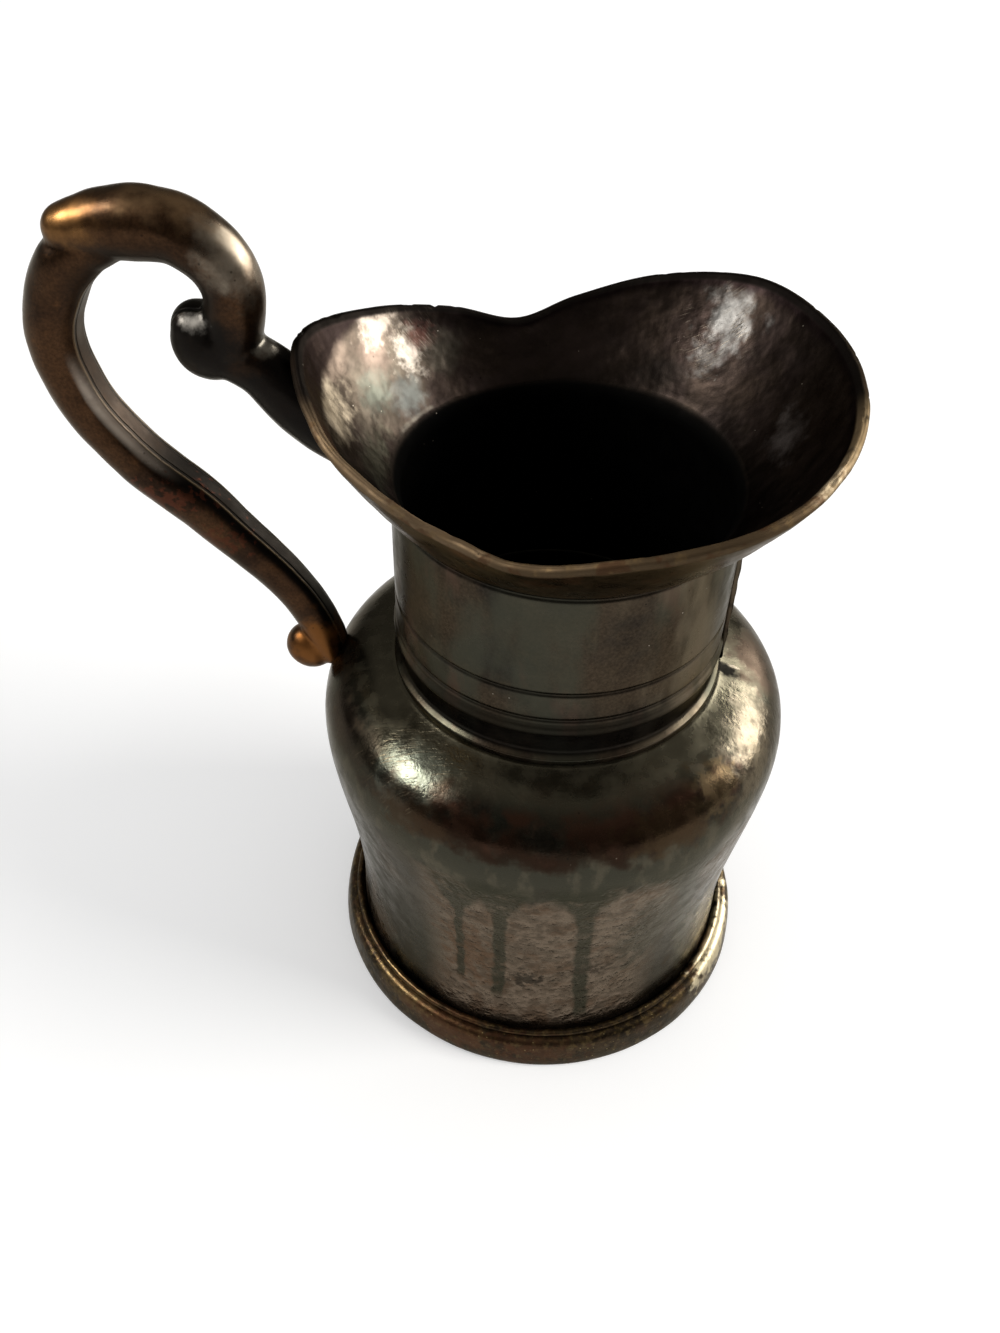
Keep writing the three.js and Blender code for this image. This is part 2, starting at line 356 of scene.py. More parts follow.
def arithmetic(operation: str, swapped: bool = False) -> Callable[["Wire", "Wire | float"], "Wire"]:
    """The method behind one arithmetic sign of a wire.

    Args:
        operation: The Math node's operation.
        swapped: Whether the wire stands after the sign.

    Returns:
        The method, which adds the node.
    """

    def method(wire: "Wire", other: "Wire | float") -> "Wire":
        """The node's result."""
        return wire.graph.maths(operation, *((other, wire) if swapped else (wire, other)))

    return method


class Wire:
    """A socket of a material; sums written with it add Math nodes."""

    __add__ = __radd__ = arithmetic("ADD")
    __sub__, __rsub__ = arithmetic("SUBTRACT"), arithmetic("SUBTRACT", swapped=True)
    __mul__ = __rmul__ = arithmetic("MULTIPLY")
    __truediv__, __rtruediv__ = arithmetic("DIVIDE"), arithmetic("DIVIDE", swapped=True)

    def __init__(self, graph: "Graph", socket: bpy.types.NodeSocket) -> None:
        """Keeps the graph and the socket."""
        self.graph = graph
        self.socket = socket

    def __abs__(self) -> "Wire":
        """Size without sign."""
        return self.graph.maths("ABSOLUTE", self)

    def rise(self, start: float, stop: float) -> "Wire":
        """A soft step from 0 to 1.

        Args:
            start: The value where it is 0; it may be the larger.
            stop: The value where it is 1.

        Returns:
            The step.
        """
        low, high = (0.0, 1.0) if start < stop else (1.0, 0.0)
        return self.graph.node(
            "ShaderNodeMapRange",
            {"interpolation_type": "SMOOTHSTEP"},
            {0: self, 1: min(start, stop), 2: max(start, stop), 3: low, 4: high},
        )


class Graph:
    """The nodes of one material."""

    def __init__(self, material: bpy.types.Material) -> None:
        """Empties the material's tree and keeps it.

        Args:
            material: The material or the world that the nodes belong to.
        """
        material.use_nodes = True
        self.tree = material.node_tree
        self.tree.nodes.clear()

    def node(
        self,
        kind: str,
        settings: Mapping[str, Any] | None = None,
        values: Mapping[str | int, Any] | None = None,
        out: str | int = 0,
    ) -> Wire:
        """Adds a node of any kind.

        Args:
            kind: The node's type name.
            settings: Its own settings, set first.
            values: A value or a wire for each input socket, by name or number.
            out: The output socket to return.

        Returns:
            The output as a wire.
        """
        made = self.tree.nodes.new(kind)
        for key, value in (settings or {}).items():
            setattr(made, key, value)
        for key, value in (values or {}).items():
            socket = made.inputs[key]
            if isinstance(value, Wire):
                self.tree.links.new(value.socket, socket)
            elif socket.type == "RGBA":
                socket.default_value = (*value[:3], 1.0)
            else:
                socket.default_value = value
        outputs = made.outputs
        return Wire(self, outputs[out]) if len(outputs) else Wire(self, made.inputs[0])

    def maths(self, operation: str, *values: "Wire | float") -> Wire:
        """A Math node's result on one to three values."""
        return self.node("ShaderNodeMath", {"operation": operation}, dict(enumerate(values)))

    def vector(self, operation: str, *values: Any, out: str = "Vector") -> Wire:
        """A Vector Math node's result on its vectors."""
        settings = {"operation": operation}
        return self.node("ShaderNodeVectorMath", settings, dict(enumerate(values)), out)

    def blend(self, share: Wire | float, first: Any, second: Any, mode: str = "MIX") -> Wire:
        """One colour laid over another.

        Args:
            share: How much of the second shows.
            first: The colour below.
            second: The colour above.
            mode: How the two combine.

        Returns:
            The mixed colour.
        """
        settings = {"data_type": "RGBA", "blend_type": mode}
        return self.node("ShaderNodeMix", settings, {0: share, 6: first, 7: second}, 2)


@dataclass(frozen=True)
class Patina:
    """A tarnished metal.

    Args:
        name: The material's name.
        deep: The tone of the thickest tarnish.
        common: The tone of most of the surface.
        worn: The tone where the metal shows.
        bare: The tone inside a scratch.
        gloss: The roughness of clean metal.
        matt: The roughness of tarnish.
        blotch: The size of its patches, in millimetres.
        grain: The size of its finest marks, in millimetres.
        relief: How deep the marks are, in millimetres.
        metal: How metallic it is.
        glance: How much light skims off it at a low angle.
    """

    name: str
    deep: str
    common: str
    worn: str
    bare: str
    gloss: float
    matt: float
    blotch: float
    grain: float
    relief: float
    metal: float = 0.92
    glance: float = 0.8


@dataclass(frozen=True)
class StainOrLightPatch:
    """A patch of another tone on the metal; some are real stains, others painted highlights or painted
    shade.

    Args:
        place: Its middle, in millimetres.
        reach: How far it spreads along each axis, in millimetres.
        colour: Its tone.
        strength: How much of the tone shows.
        ragged: How broken its edge is.
        rough: What it adds to the roughness.
        heart: The share of its reach where it is full.
    """

    place: tuple[float, float, float]
    reach: tuple[float, float, float]
    colour: str
    strength: float = 0.8
    ragged: float = 0.8
    rough: float = 0.0
    heart: float = 0.4


@dataclass(frozen=True)
class Drip:
    """A dark run down the body.

    Args:
        azimuth: Where it runs, in degrees from the +X side.
        lean: How far it drifts from its top to its foot, in degrees.
        top: The height where it starts.
        foot: The height where it ends.
        width: Half its width, in millimetres.
    """

    azimuth: float
    lean: float
    top: float
    foot: float
    width: float = 0.5


class MetalSurface:
    """A metal's tone, roughness and relief while its layers are laid."""

    def __init__(self, patina: Patina) -> None:
        """Starts a material with the patina's common layers.

        Args:
            patina: The metal and its tarnish.
        """
        self.patina = patina
        self.material = bpy.data.materials.new(patina.name)
        self.graph = Graph(self.material)
        metres = self.graph.node("ShaderNodeTexCoord", out="Object")
        per_mm = 1 / MM
        self.place = self.graph.node(
            "ShaderNodeMapping", {}, {"Vector": metres, "Scale": (per_mm, per_mm, per_mm)}
        )
        self.x, self.y, self.z = (
            self.graph.node("ShaderNodeSeparateXYZ", {}, {0: self.place}, axis) for axis in "XYZ"
        )
        self.azimuth = self.graph.maths("ARCTAN2", self.y, self.x)
        blotches = self.marks(patina.blotch, detail=5.0)
        patches = self.marks(patina.blotch * 0.28, detail=6.0, shift=7.0)
        grain = self.marks(patina.grain, detail=3.0, shift=3.0)
        self.colour = self.graph.blend(blotches.rise(0.34, 0.62), tone(patina.deep), tone(patina.common))
        self.tint(patches.rise(0.55, 0.78) * 0.55, patina.worn)
        self.shade(grain, 0.72, 1.3)
        self.rough = patina.gloss + (patina.matt - patina.gloss) * patches.rise(0.3, 0.75)
        self.relief = grain * patina.relief + patches * (patina.relief * 2.0)

    def marks(
        self,
        size: float,
        detail: float = 4.0,
        shift: float = 0.0,
        stretch: tuple[float, float, float] = (1.0, 1.0, 1.0),
        turn: tuple[float, float, float] = (0.0, 0.0, 0.0),
        at: Wire | None = None,
    ) -> Wire:
        """Irregular marks from 0 to 1.

        Args:
            size: Their size in millimetres.
            detail: How much finer they break up.
            shift: An offset that gives another set.
            stretch: How much longer they are along each axis.
            turn: How they are turned first, in degrees.
            at: The place to read, if not the object's own.

        Returns:
            The marks as a wire.
        """
        scale = tuple(1 / (size * length) for length in stretch)
        spot = self.graph.node(
            "ShaderNodeMapping",
            {},
            {
                "Vector": at or self.place,
                "Location": (shift, shift * 0.7, shift * 1.3),
                "Rotation": tuple(math.radians(angle) for angle in turn),
                "Scale": scale,
            },
        )
        return self.graph.node(
            "ShaderNodeTexNoise", {}, {"Vector": spot, "Scale": 1.0, "Detail": detail, "Roughness": 0.55}
        )

    def attribute(self, name: str) -> Wire:
        """A number that the piece's mesh holds at each point."""
        return self.graph.node("ShaderNodeAttribute", {"attribute_name": name}, {}, "Fac")

    def tint(self, mask: Wire | float, code: str) -> None:
        """Lays a tone over the surface where the mask is."""
        self.colour = self.graph.blend(mask, self.colour, tone(code))

    def shade(self, marks: Wire, dark: float, light: float) -> None:
        """Darkens and lightens the tone with some marks.

        Args:
            marks: The marks.
            dark: The tone's share where they are lowest.
            light: The tone's share where they are highest.
        """
        level = marks.rise(0.25, 0.75) * (light - dark) + dark
        grey = self.graph.node("ShaderNodeCombineXYZ", {}, {0: level, 1: level, 2: level})
        self.colour = self.graph.blend(1.0, self.colour, grey, "MULTIPLY")

    def mottle(
        self,
        mask: Wire | float,
        code: str,
        size: float,
        shift: float,
        edge: Point,
        detail: float = 5.0,
        stretch: tuple[float, float, float] = (1.0, 1.0, 1.0),
    ) -> None:
        """Lays a tone in irregular patches.

        Args:
            mask: Where and how strongly it shows.
            code: The tone.
            size: The size of the patches in millimetres.
            shift: An offset that gives another set.
            edge: The level of the marks where a patch starts and the level where it is full.
            detail: How much finer the patches break up.
            stretch: How much longer they are along each axis.
        """
        self.tint(self.marks(size, detail, shift, stretch).rise(*edge) * mask, code)

    def near(
        self,
        place: tuple[float, float, float],
        reach: tuple[float, float, float],
        ragged: float = 0.8,
        heart: float = 0.4,
    ) -> Wire:
        """The neighbourhood of a place, with a ragged edge.

        Args:
            place: Its middle, in millimetres.
            reach: How far it spreads along each axis, in millimetres.
            ragged: How broken its edge is.
            heart: The share of its reach where it is full.

        Returns:
            A mask, 1 inside and 0 outside.
        """
        offset = self.graph.vector("SUBTRACT", self.place, place)
        scaled = self.graph.vector("DIVIDE", offset, reach)
        distance = self.graph.vector("LENGTH", scaled, out="Value")
        edge = (self.marks(min(reach) * 0.5, detail=6.0, shift=sum(place)) - 0.5) * ragged
        return (distance + edge * 2.0).rise(1.05, heart)

    def tone_patch(self, *tone_patches: StainOrLightPatch) -> None:
        """Lays patches of tone, real stains and painted highlights and shade, each over the one before.

        Args:
            *tone_patches: The patches in order.
        """
        for tone_patch in tone_patches:
            mask = self.near(tone_patch.place, tone_patch.reach, tone_patch.ragged, tone_patch.heart) * tone_patch.strength
            self.tint(mask, tone_patch.colour)
            if tone_patch.rough:
                self.rough += mask * tone_patch.rough

    def run(self, drip: Drip, radius: float, code: str) -> None:
        """Lays a drip on a turned surface.

        Args:
            drip: The run.
            radius: The surface's radius there.
            code: The run's tone.
        """
        down = (drip.top - self.z) * (math.radians(drip.lean) / (drip.top - drip.foot))
        sway = (self.marks(3.0, detail=2.0, shift=drip.azimuth) - 0.5) * 0.05
        side = abs(self.azimuth - math.radians(drip.azimuth) - down + sway) * radius
        head = self.z.rise(drip.top - 9.0, drip.top + 1.0)
        core = side / (head * head * 3.0 + drip.width)
        broken = self.marks(1.6, detail=4.0, shift=drip.azimuth + 2.0).rise(0.3, 0.5) * 0.4 + 0.5
        length = self.z.rise(drip.foot - 1.0, drip.foot + 1.5)
        self.tint(core.rise(1.4, 0.7) * length * self.z.rise(drip.top + 3.0, drip.top) * broken, code)

    def scratches(
        self, size: float, turns: Sequence[float], strength: float, where: Wire | float = 1.0
    ) -> None:
        """Fine crossing scratches in groups, over faces that look up.

        Args:
            size: The width of a scratch in millimetres.
            turns: The directions, in degrees about the vertical.
            strength: How deep they are, in millimetres.
            where: The mask that they keep to.
        """
        for turn in turns:
            lines = self.marks(size, 1.0, turn, (40.0, 1.0, 14.0), (0.0, 0.0, turn))
            groups = self.marks(4.0, 2.0, turn + 3.0).rise(0.5, 0.6)
            cut = lines.rise(0.6, 0.7) * groups * where
            self.relief -= cut * strength
            self.tint(cut * 0.45, self.patina.bare)

    def rings(self, size: float, strength: float, where: Wire | float = 1.0) -> None:
        """Fine turning marks that go round the axis.

        Args:
            size: Their spacing in millimetres.
            strength: How deep they are, in millimetres.
            where: The mask that they keep to.
        """
        lines = self.marks(size, 3.0, 5.0, (60.0, 60.0, 1.0))
        self.relief += lines * where * strength
        self.rough += (lines - 0.5) * where * 0.12

    def peel(self, size: float, depth: float, where: Wire | float = 1.0) -> Wire:
        """A skin like orange peel.

        Args:
            size: The size of its bumps in millimetres.
            depth: How deep they are, in millimetres.
            where: The mask that it keeps to.

        Returns:
            The bumps from 0 to 1, for a tone of their own.
        """
        bumps = self.marks(size, 3.0, size * 40.0)
        self.relief += (bumps - 0.5) * where * depth
        return bumps.rise(0.4, 0.6)

    def specks(self, spacing: float, size: float, code: str, strength: float, share: float = 0.35) -> None:
        """Small scattered specks.

        Args:
            spacing: The distance between them, in millimetres.
            size: Their radius in millimetres.
            code: Their tone.
            strength: How much of it shows.
            share: How much of the surface has them.
        """
        distance = self.graph.node(
            "ShaderNodeTexVoronoi", {}, {"Vector": self.place, "Scale": 1 / spacing}, "Distance"
        )
        areas = self.marks(spacing * 6, detail=2.0, shift=spacing)
        width = size / spacing
        mask = distance.rise(width, width * 0.5) * areas.rise(0.62 - share * 0.4, 0.66 - share * 0.2)
        self.tint(mask * strength, code)

    def done(self) -> bpy.types.Material:
        """Joins the layers to the shader.

        Returns:
            The material.
        """
        graph = self.graph
        normal = graph.node(
            "ShaderNodeBump", {}, {"Strength": 1.0, "Distance": MM, "Height": self.relief}
        )
        shader = graph.node(
            "ShaderNodeBsdfPrincipled",
            {},
            {
                "Base Color": self.colour,
                "Metallic": self.patina.metal,
                "Specular Tint": tuple(self.patina.glance * part for part in (1.0, 0.96, 0.88)),
                "Roughness": self.rough,
                "Normal": normal,
            },
        )
        graph.node("ShaderNodeOutputMaterial", {}, {"Surface": shader})
        return self.material


BODY_BRASS = Patina(
    "body patina and painted light", "1b1915", "2d2820", "45392b", "6b5f4c", 0.18, 0.36, 9.0, 0.35, 0.012, glance=0.68
)
BASE_BRASS = Patina(
    "underside patina", "2a241c", "54432c", "8a6a3a", "a08350", 0.34, 0.5, 7.0, 0.4, 0.02
)
FOOT_COPPER = Patina(
    "foot patina and painted highlight", "1e1913", "392e21", "544124", "8a7042", 0.2, 0.38, 5.0, 0.3, 0.015
)
NECK_BRONZE = Patina(
    "neck patina and painted light", "211e1b", "382f25", "493e30", "756c60", 0.26, 0.42, 10.0, 0.35, 0.01, glance=0.5
)
HANDLE_BROWN = Patina(
    "handle patina and painted light", "20150e", "3a2718", "533720", "80653c", 0.26, 0.4, 9.0, 0.35, 0.005
)

BODY_STAINS_AND_LIGHT = (
    # Painted shade: darker and rougher low on the left, dimming the floor's reflection there.
    StainOrLightPatch((-19.5, -20.0, 24.0), (9.0, 7.0, 20.0), "16170f", 0.9, 0.6, 0.06, 0.3),
    # The next two rows: painted highlights on the right of the shoulder.
    StainOrLightPatch((24.3, -9.0, 51.8), (4.2, 8.5, 3.4), "675f51", 0.85, 1.2, 0.0, 0.15),
    StainOrLightPatch((26.6, -13.0, 48.6), (3.0, 8.5, 3.6), "584f40", 0.8, 1.1, 0.0, 0.15),
    StainOrLightPatch((16.0, -23.0, 49.0), (9.0, 5.0, 4.0), "3d3020", 0.65, 1.1),
    StainOrLightPatch((20.6, -17.6, 50.6), (4.4, 4.4, 2.8), "4b3f2c", 0.75, 1.2),
    StainOrLightPatch((26.0, 3.6, 52.0), (4.8, 6.6, 4.6), "2e231c", 0.92, 0.9, 0.06, 0.4),
    # A painted highlight on the left of the shoulder.
    StainOrLightPatch((-14.3, -22.2, 51.4), (6.8, 5.4, 4.4), "5c6055", 0.85, 0.7, 0.0, 0.1),
    StainOrLightPatch((-14.0, -25.0, 48.0), (7.0, 5.0, 3.5), "35281b", 0.7, 1.1),
    StainOrLightPatch((-7.0, -26.2, 22.0), (4.5, 3.0, 9.0), "513a28", 0.65, 1.6, 0.04),
    StainOrLightPatch((1.0, -27.0, 17.5), (3.0, 2.0, 2.2), "241e18", 0.85, 2.2, 0.1),
    StainOrLightPatch((9.3, -26.0, 20.0), (3.0, 2.4, 2.0), "2a211a", 0.7, 2.2, 0.1),
    StainOrLightPatch((15.5, -23.0, 28.0), (5.0, 4.0, 12.0), "2b2b22", 0.7, 0.8),
    # A painted reflection: a pale upright streak low on the right.
    StainOrLightPatch((24.0, -13.0, 22.0), (2.4, 3.0, 9.0), "7a7263", 0.8, 0.6),
    StainOrLightPatch((-27.0, -8.0, 24.0), (4.0, 4.0, 14.0), "343833", 0.5, 0.8),
)
SEAM_FOOT_PAINTED_SHADE_AND_GLINT = (
    # Painted shade: black on the body's top inside the neck's mouth.
    StainOrLightPatch((0.0, 0.0, 53.0), (20.4, 20.4, 4.0), "030303", 1.0, 0.0, 0.4, 0.96),
    # A painted shadow in the notch at the foot of the seam's lap.
    StainOrLightPatch((21.9, -0.9, 54.0), (2.3, 1.5, 1.8), "050505", 0.97, 0.6, 0.3),
    # A painted glint on the lap's broken end.
    StainOrLightPatch((22.9, 0.1, 53.7), (1.2, 0.35, 0.9), "7d7466", 0.85, 0.5),
)


@dataclass
class Body:
    """The spun body shell and the disc that closes it below."""

    wall: float = 1.1
    foot_radius: float = 27.2
    waist: Point = (26.9, 12.1)
    shoulder: Point = (30.3, 44.1)
    seat: Point = (21.0, 54.2)
    hole_radius: float = 19.2
    base_thickness: float = 1.2
    spacing: float = 1.0
    columns: int = 240
    disc_columns: int = 96
    work: HandWork = HandWork(0.16, 13.0, 4.0)
    drips: tuple[Drip, ...] = (
        Drip(-95.5, -1.0, 40.5, 12.0, 0.8),
        Drip(-106.5, -1.5, 39.0, 14.0, 0.6),
        Drip(-75.5, 4.0, 41.0, 7.5, 0.95),
        Drip(-50.0, 16.0, 41.5, 7.0, 1.2),
        Drip(-140.0, 2.0, 36.0, 12.0),
        Drip(12.0, -3.0, 38.0, 10.0, 0.7),
        Drip(58.0, 3.0, 37.0, 14.0),
        Drip(96.0, -2.0, 40.0, 9.0, 0.7),
        Drip(139.0, 3.0, 36.0, 12.0, 0.9),
    )

    def outside(self) -> list[Point]:
        """The outer line from the table to the edge of the mouth.

        Returns:
            The points in order.
        """
        lift = self.shoulder[1] - self.waist[1]
        crown = self.seat[1] - self.shoulder[1]
        shelf = self.shoulder[0] - self.seat[0]
        belly = [
            self.waist,
            (self.waist[0], self.waist[1] + 0.43 * lift),
            (self.shoulder[0], self.shoulder[1] - 0.2 * lift),
            self.shoulder,
        ]
        cap = [
            self.shoulder,
            (self.shoulder[0], self.shoulder[1] + 0.85 * crown),
            (self.seat[0] + 0.2 * shelf, self.seat[1] - 0.11 * crown),
            self.seat,
        ]
        start = [(self.foot_radius, 0.0)]
        return start + bezier(belly, 48) + bezier(cap, 32)[1:] + [(self.hole_radius, self.seat[1])]

    def radius_at(self, height: float) -> float:
        """The outer radius of the wall.

        Args:
            height: Where to measure it.

        Returns:
            The radius.
        """
        line = self.outside()[:-1]
        heights = [point[1] for point in line]
        return float(np.interp(height, heights, [point[0] for point in line]))

    def shell(self) -> bmesh.types.BMesh:
        """The body's wall.

        Returns:
            The solid.
        """
        outside = self.outside()
        inside = beside(outside, self.wall)
        inside[0] = (self.foot_radius - self.wall, 0.0)
        inside[-1] = (self.hole_radius, self.seat[1] - self.wall)
        section = Outline().follow(outside).follow(reversed(inside))
        mesh = spun(section.points(self.spacing), self.columns)
        self.work.press(mesh)
        return mesh

    def disc(self) -> bmesh.types.BMesh:
        """The disc inside the foot of the shell.

        Returns:
            The solid.
        """
        radius = self.foot_radius - self.wall
        section = Outline().to(0.0, 0.15).to(radius - 3.0, 0.25, 2.0).to(radius, 0.0, 0.3)
        section.to(radius, self.base_thickness, 0.3).to(0.0, self.base_thickness)
        return spun(section.points(self.spacing), self.disc_columns)

    def shell_finish(self) -> bpy.types.Material:
        """Dark brass: taupe panels between dark runs, a red belt and a green-black shoulder, with painted
        highlights on the shoulder, a painted reflection low on the right and painted shade low on the left
        and inside the mouth.

        Returns:
            The material.
        """
        metal = MetalSurface(BODY_BRASS)
        z = metal.z
        metal.mottle(0.6, "25271f", 14.0, 21.0, (0.42, 0.58), 4.0)
        front = abs(metal.azimuth + math.radians(84.0)).rise(0.66, 0.42)
        around = metal.marks(16.0, 3.0, 33.0, (1.0, 1.0, 3.0)).rise(0.5, 0.6)
        low = (z + (metal.marks(3.5, 6.0, 17.0) - 0.5) * 13.0).rise(42.0, 39.5)
        panels = low * metal.graph.maths("MAXIMUM", front, around * (1.0 - front) * 0.7)
        metal.tint(panels * 0.9, "6b5d4f")
        metal.mottle(panels * 0.6, "4a3626", 3.2, 47.0, (0.48, 0.62))
        skin = metal.peel(1.5, 0.3, panels)
        metal.tint(panels * (1.0 - skin) * 0.55, "352b21")
        self._tarnish_shoulder(metal, front)
        # Stains, with painted highlights, a painted reflection and painted shade among them.
        metal.tone_patch(*BODY_STAINS_AND_LIGHT)
        # Painted shade inside the mouth and in the seam's notch, and a painted glint on the lap's end.
        metal.tone_patch(*SEAM_FOOT_PAINTED_SHADE_AND_GLINT)
        metal.peel(0.8, 0.07, metal.near((25.0, -9.0, 50.0), (8.0, 12.0, 8.0)))
        left = metal.near((-15.0, -21.5, 51.5), (9.0, 7.0, 6.0))
        metal.peel(0.7, 0.05, left)
        for drip in self.drips:
            metal.run(drip, 28.0, "24251b")
        metal.rings(0.5, 0.005)
        metal.scratches(0.12, (20.0, -55.0, 75.0), 0.01, left)
        metal.specks(2.2, 0.1, "a79c88", 0.6, 0.4)
        metal.specks(2.3, 0.16, "0d0c0b", 0.7, 0.6)
        return metal.done()

    @staticmethod
    def _tarnish_shoulder(metal: MetalSurface, front: Wire) -> None:
        """Lays the grey-green verge, the red belt and the crown, one above the other.

        Args:
            metal: The body's surface.
            front: The mask of the side with the panels.
        """
        height = metal.z + (metal.marks(4.0, 6.0, 11.0) - 0.5) * 8.0
        verge = height.rise(39.5, 42.5) * height.rise(48.5, 46.0)
        metal.tint(verge * 0.8, "37362d")
        metal.mottle(verge * 0.7, "4b463a", 2.6, 49.0, (0.46, 0.6), 6.0, (1.0, 1.0, 2.0))
        belt = height.rise(45.6, 49.6) * height.rise(53.5, 51.0)
        sides = abs(metal.azimuth + math.radians(80.0)).rise(0.95, 0.7)
        metal.mottle(belt * (sides * 0.65 + 0.2), "38241a", 6.0, 41.0, (0.36, 0.52))
        line = height.rise(45.6, 47.6) * height.rise(49.8, 47.8)
        metal.tint(line * front * 0.75, "21150d")
        metal.tint(metal.z.rise(51.5, 53.5) * 0.78, "4e4a3d")

    def disc_finish(self) -> bpy.types.Material:
        """Plain scuffed brass, hidden in use.

        Returns:
            The material.
        """
        metal = MetalSurface(BASE_BRASS)
        metal.rings(0.6, 0.02)
        metal.scratches(0.3, (10.0, 80.0), 0.02)
        metal.specks(2.0, 0.2, "1a1510", 0.8, 0.6)
        return metal.done()

    def build(self) -> None:
        """Makes and dresses both pieces."""
        add_piece("body_metal", self.shell(), self.shell_finish(), "body_shell")
        add_piece("base_disc", self.disc(), self.disc_finish(), "base_plate")


FOOT_STAINS_AND_HIGHLIGHT = (
    StainOrLightPatch((-10.0, -27.5, 3.8), (11.0, 6.0, 3.5), "50321f", 0.5, 1.8),
    StainOrLightPatch((2.0, -29.0, 3.6), (7.0, 6.0, 3.0), "482e1f", 0.45, 1.8),
    # A painted highlight on the right of the ring.
    StainOrLightPatch((27.5, -8.0, 4.6), (5.0, 11.0, 3.0), "c2b698", 0.85, 1.4, 0.12),
    StainOrLightPatch((-16.0, -23.5, 5.0), (7.0, 6.0, 2.5), "5d4d33", 0.5, 1.4),
)


@dataclass
class Foot:
    """The foot ring and the wire soldered along its inner top edge."""

    radius: float = 30.2
    bore: float = 27.25
    height: float = 5.0
    toe: float = 0.7
    batter: float = 0.6
    rounding: float = 2.4
    wire_circle: float = 27.9
    wire_height: float = 5.35
    wire_radius: float = 0.5
    wire_sides: int = 12
    band_columns: int = 240
    wire_columns: int = 300
    band_work: HandWork = HandWork(0.22, 7.0, 9.0)
    wire_work: HandWork = HandWork(0.12, 2.0, 5.0)
    hammering: HandWork = HandWork(0.16, 1.3, 2.0)

    def band(self) -> bmesh.types.BMesh:
        """The ring, a little uneven.

        Returns:
            The solid.
        """
        outer = self.radius - self.batter
        section = Outline().to(self.bore, 0.0).to(self.radius, 0.0, self.toe)
        section.to(self.radius, self.toe + 0.6, 0.5).to(outer, self.height, self.rounding)
        section.to(self.bore, self.height - 0.1)
        mesh = spun(section.points(0.4), self.band_columns)
        self.band_work.press(mesh)
        return mesh

    def wire(self) -> bmesh.types.BMesh:
        """The wire, hammered here and there.

        Returns:
            The solid.
        """
        points = []
        for i in range(self.wire_sides):
            angle = math.tau * i / self.wire_sides
            radius = self.wire_circle + self.wire_radius * math.cos(angle)
            points.append((radius, self.wire_height + self.wire_radius * math.sin(angle)))
        mesh = spun(points, self.wire_columns)
        for vert in mesh.verts:
            vert.co.z -= self.hammering.at(vert.co)
        self.wire_work.press(mesh)
        return mesh

    def finish(self) -> bpy.types.Material:
        """Worn copper: olive sides, darker towards the bottom, red patches in front, gold crumbs on top
        and a painted highlight on the right.

        Returns:
            The material.
        """
        metal = MetalSurface(FOOT_COPPER)
        top = metal.z.rise(3.4, 4.8)
        crumbs = metal.marks(0.8, 5.0, 13.0)
        metal.tint(metal.z.rise(3.0, 1.2) * 0.5, "26231b")
        metal.tint(top * crumbs.rise(0.46, 0.62) * 0.5, "655434")
        metal.tint(crumbs.rise(0.55, 0.66) * 0.3, "6a5a3e")
        metal.mottle(0.6, "1d1812", 1.1, 15.0, (0.53, 0.64))
        metal.relief += crumbs * 0.05
        metal.rough += 0.08
        # Red copper patches and a painted highlight on the right.
        metal.tone_patch(*FOOT_STAINS_AND_HIGHLIGHT)
        metal.mottle(0.22, "482e1e", 2.2, 27.0, (0.5, 0.6), 6.0)
        metal.rings(0.4, 0.008)
        metal.specks(0.9, 0.1, "b3a070", 0.6, 0.5)
        metal.specks(1.2, 0.16, "15100c", 0.7, 0.6)
        return metal.done()

    def build(self) -> None:
        """Makes and dresses both pieces."""
        finish = self.finish()
        add_piece("foot_band", self.band(), finish, "foot_ring")
        add_piece("foot_bead", self.wire(), finish, "foot_wire")


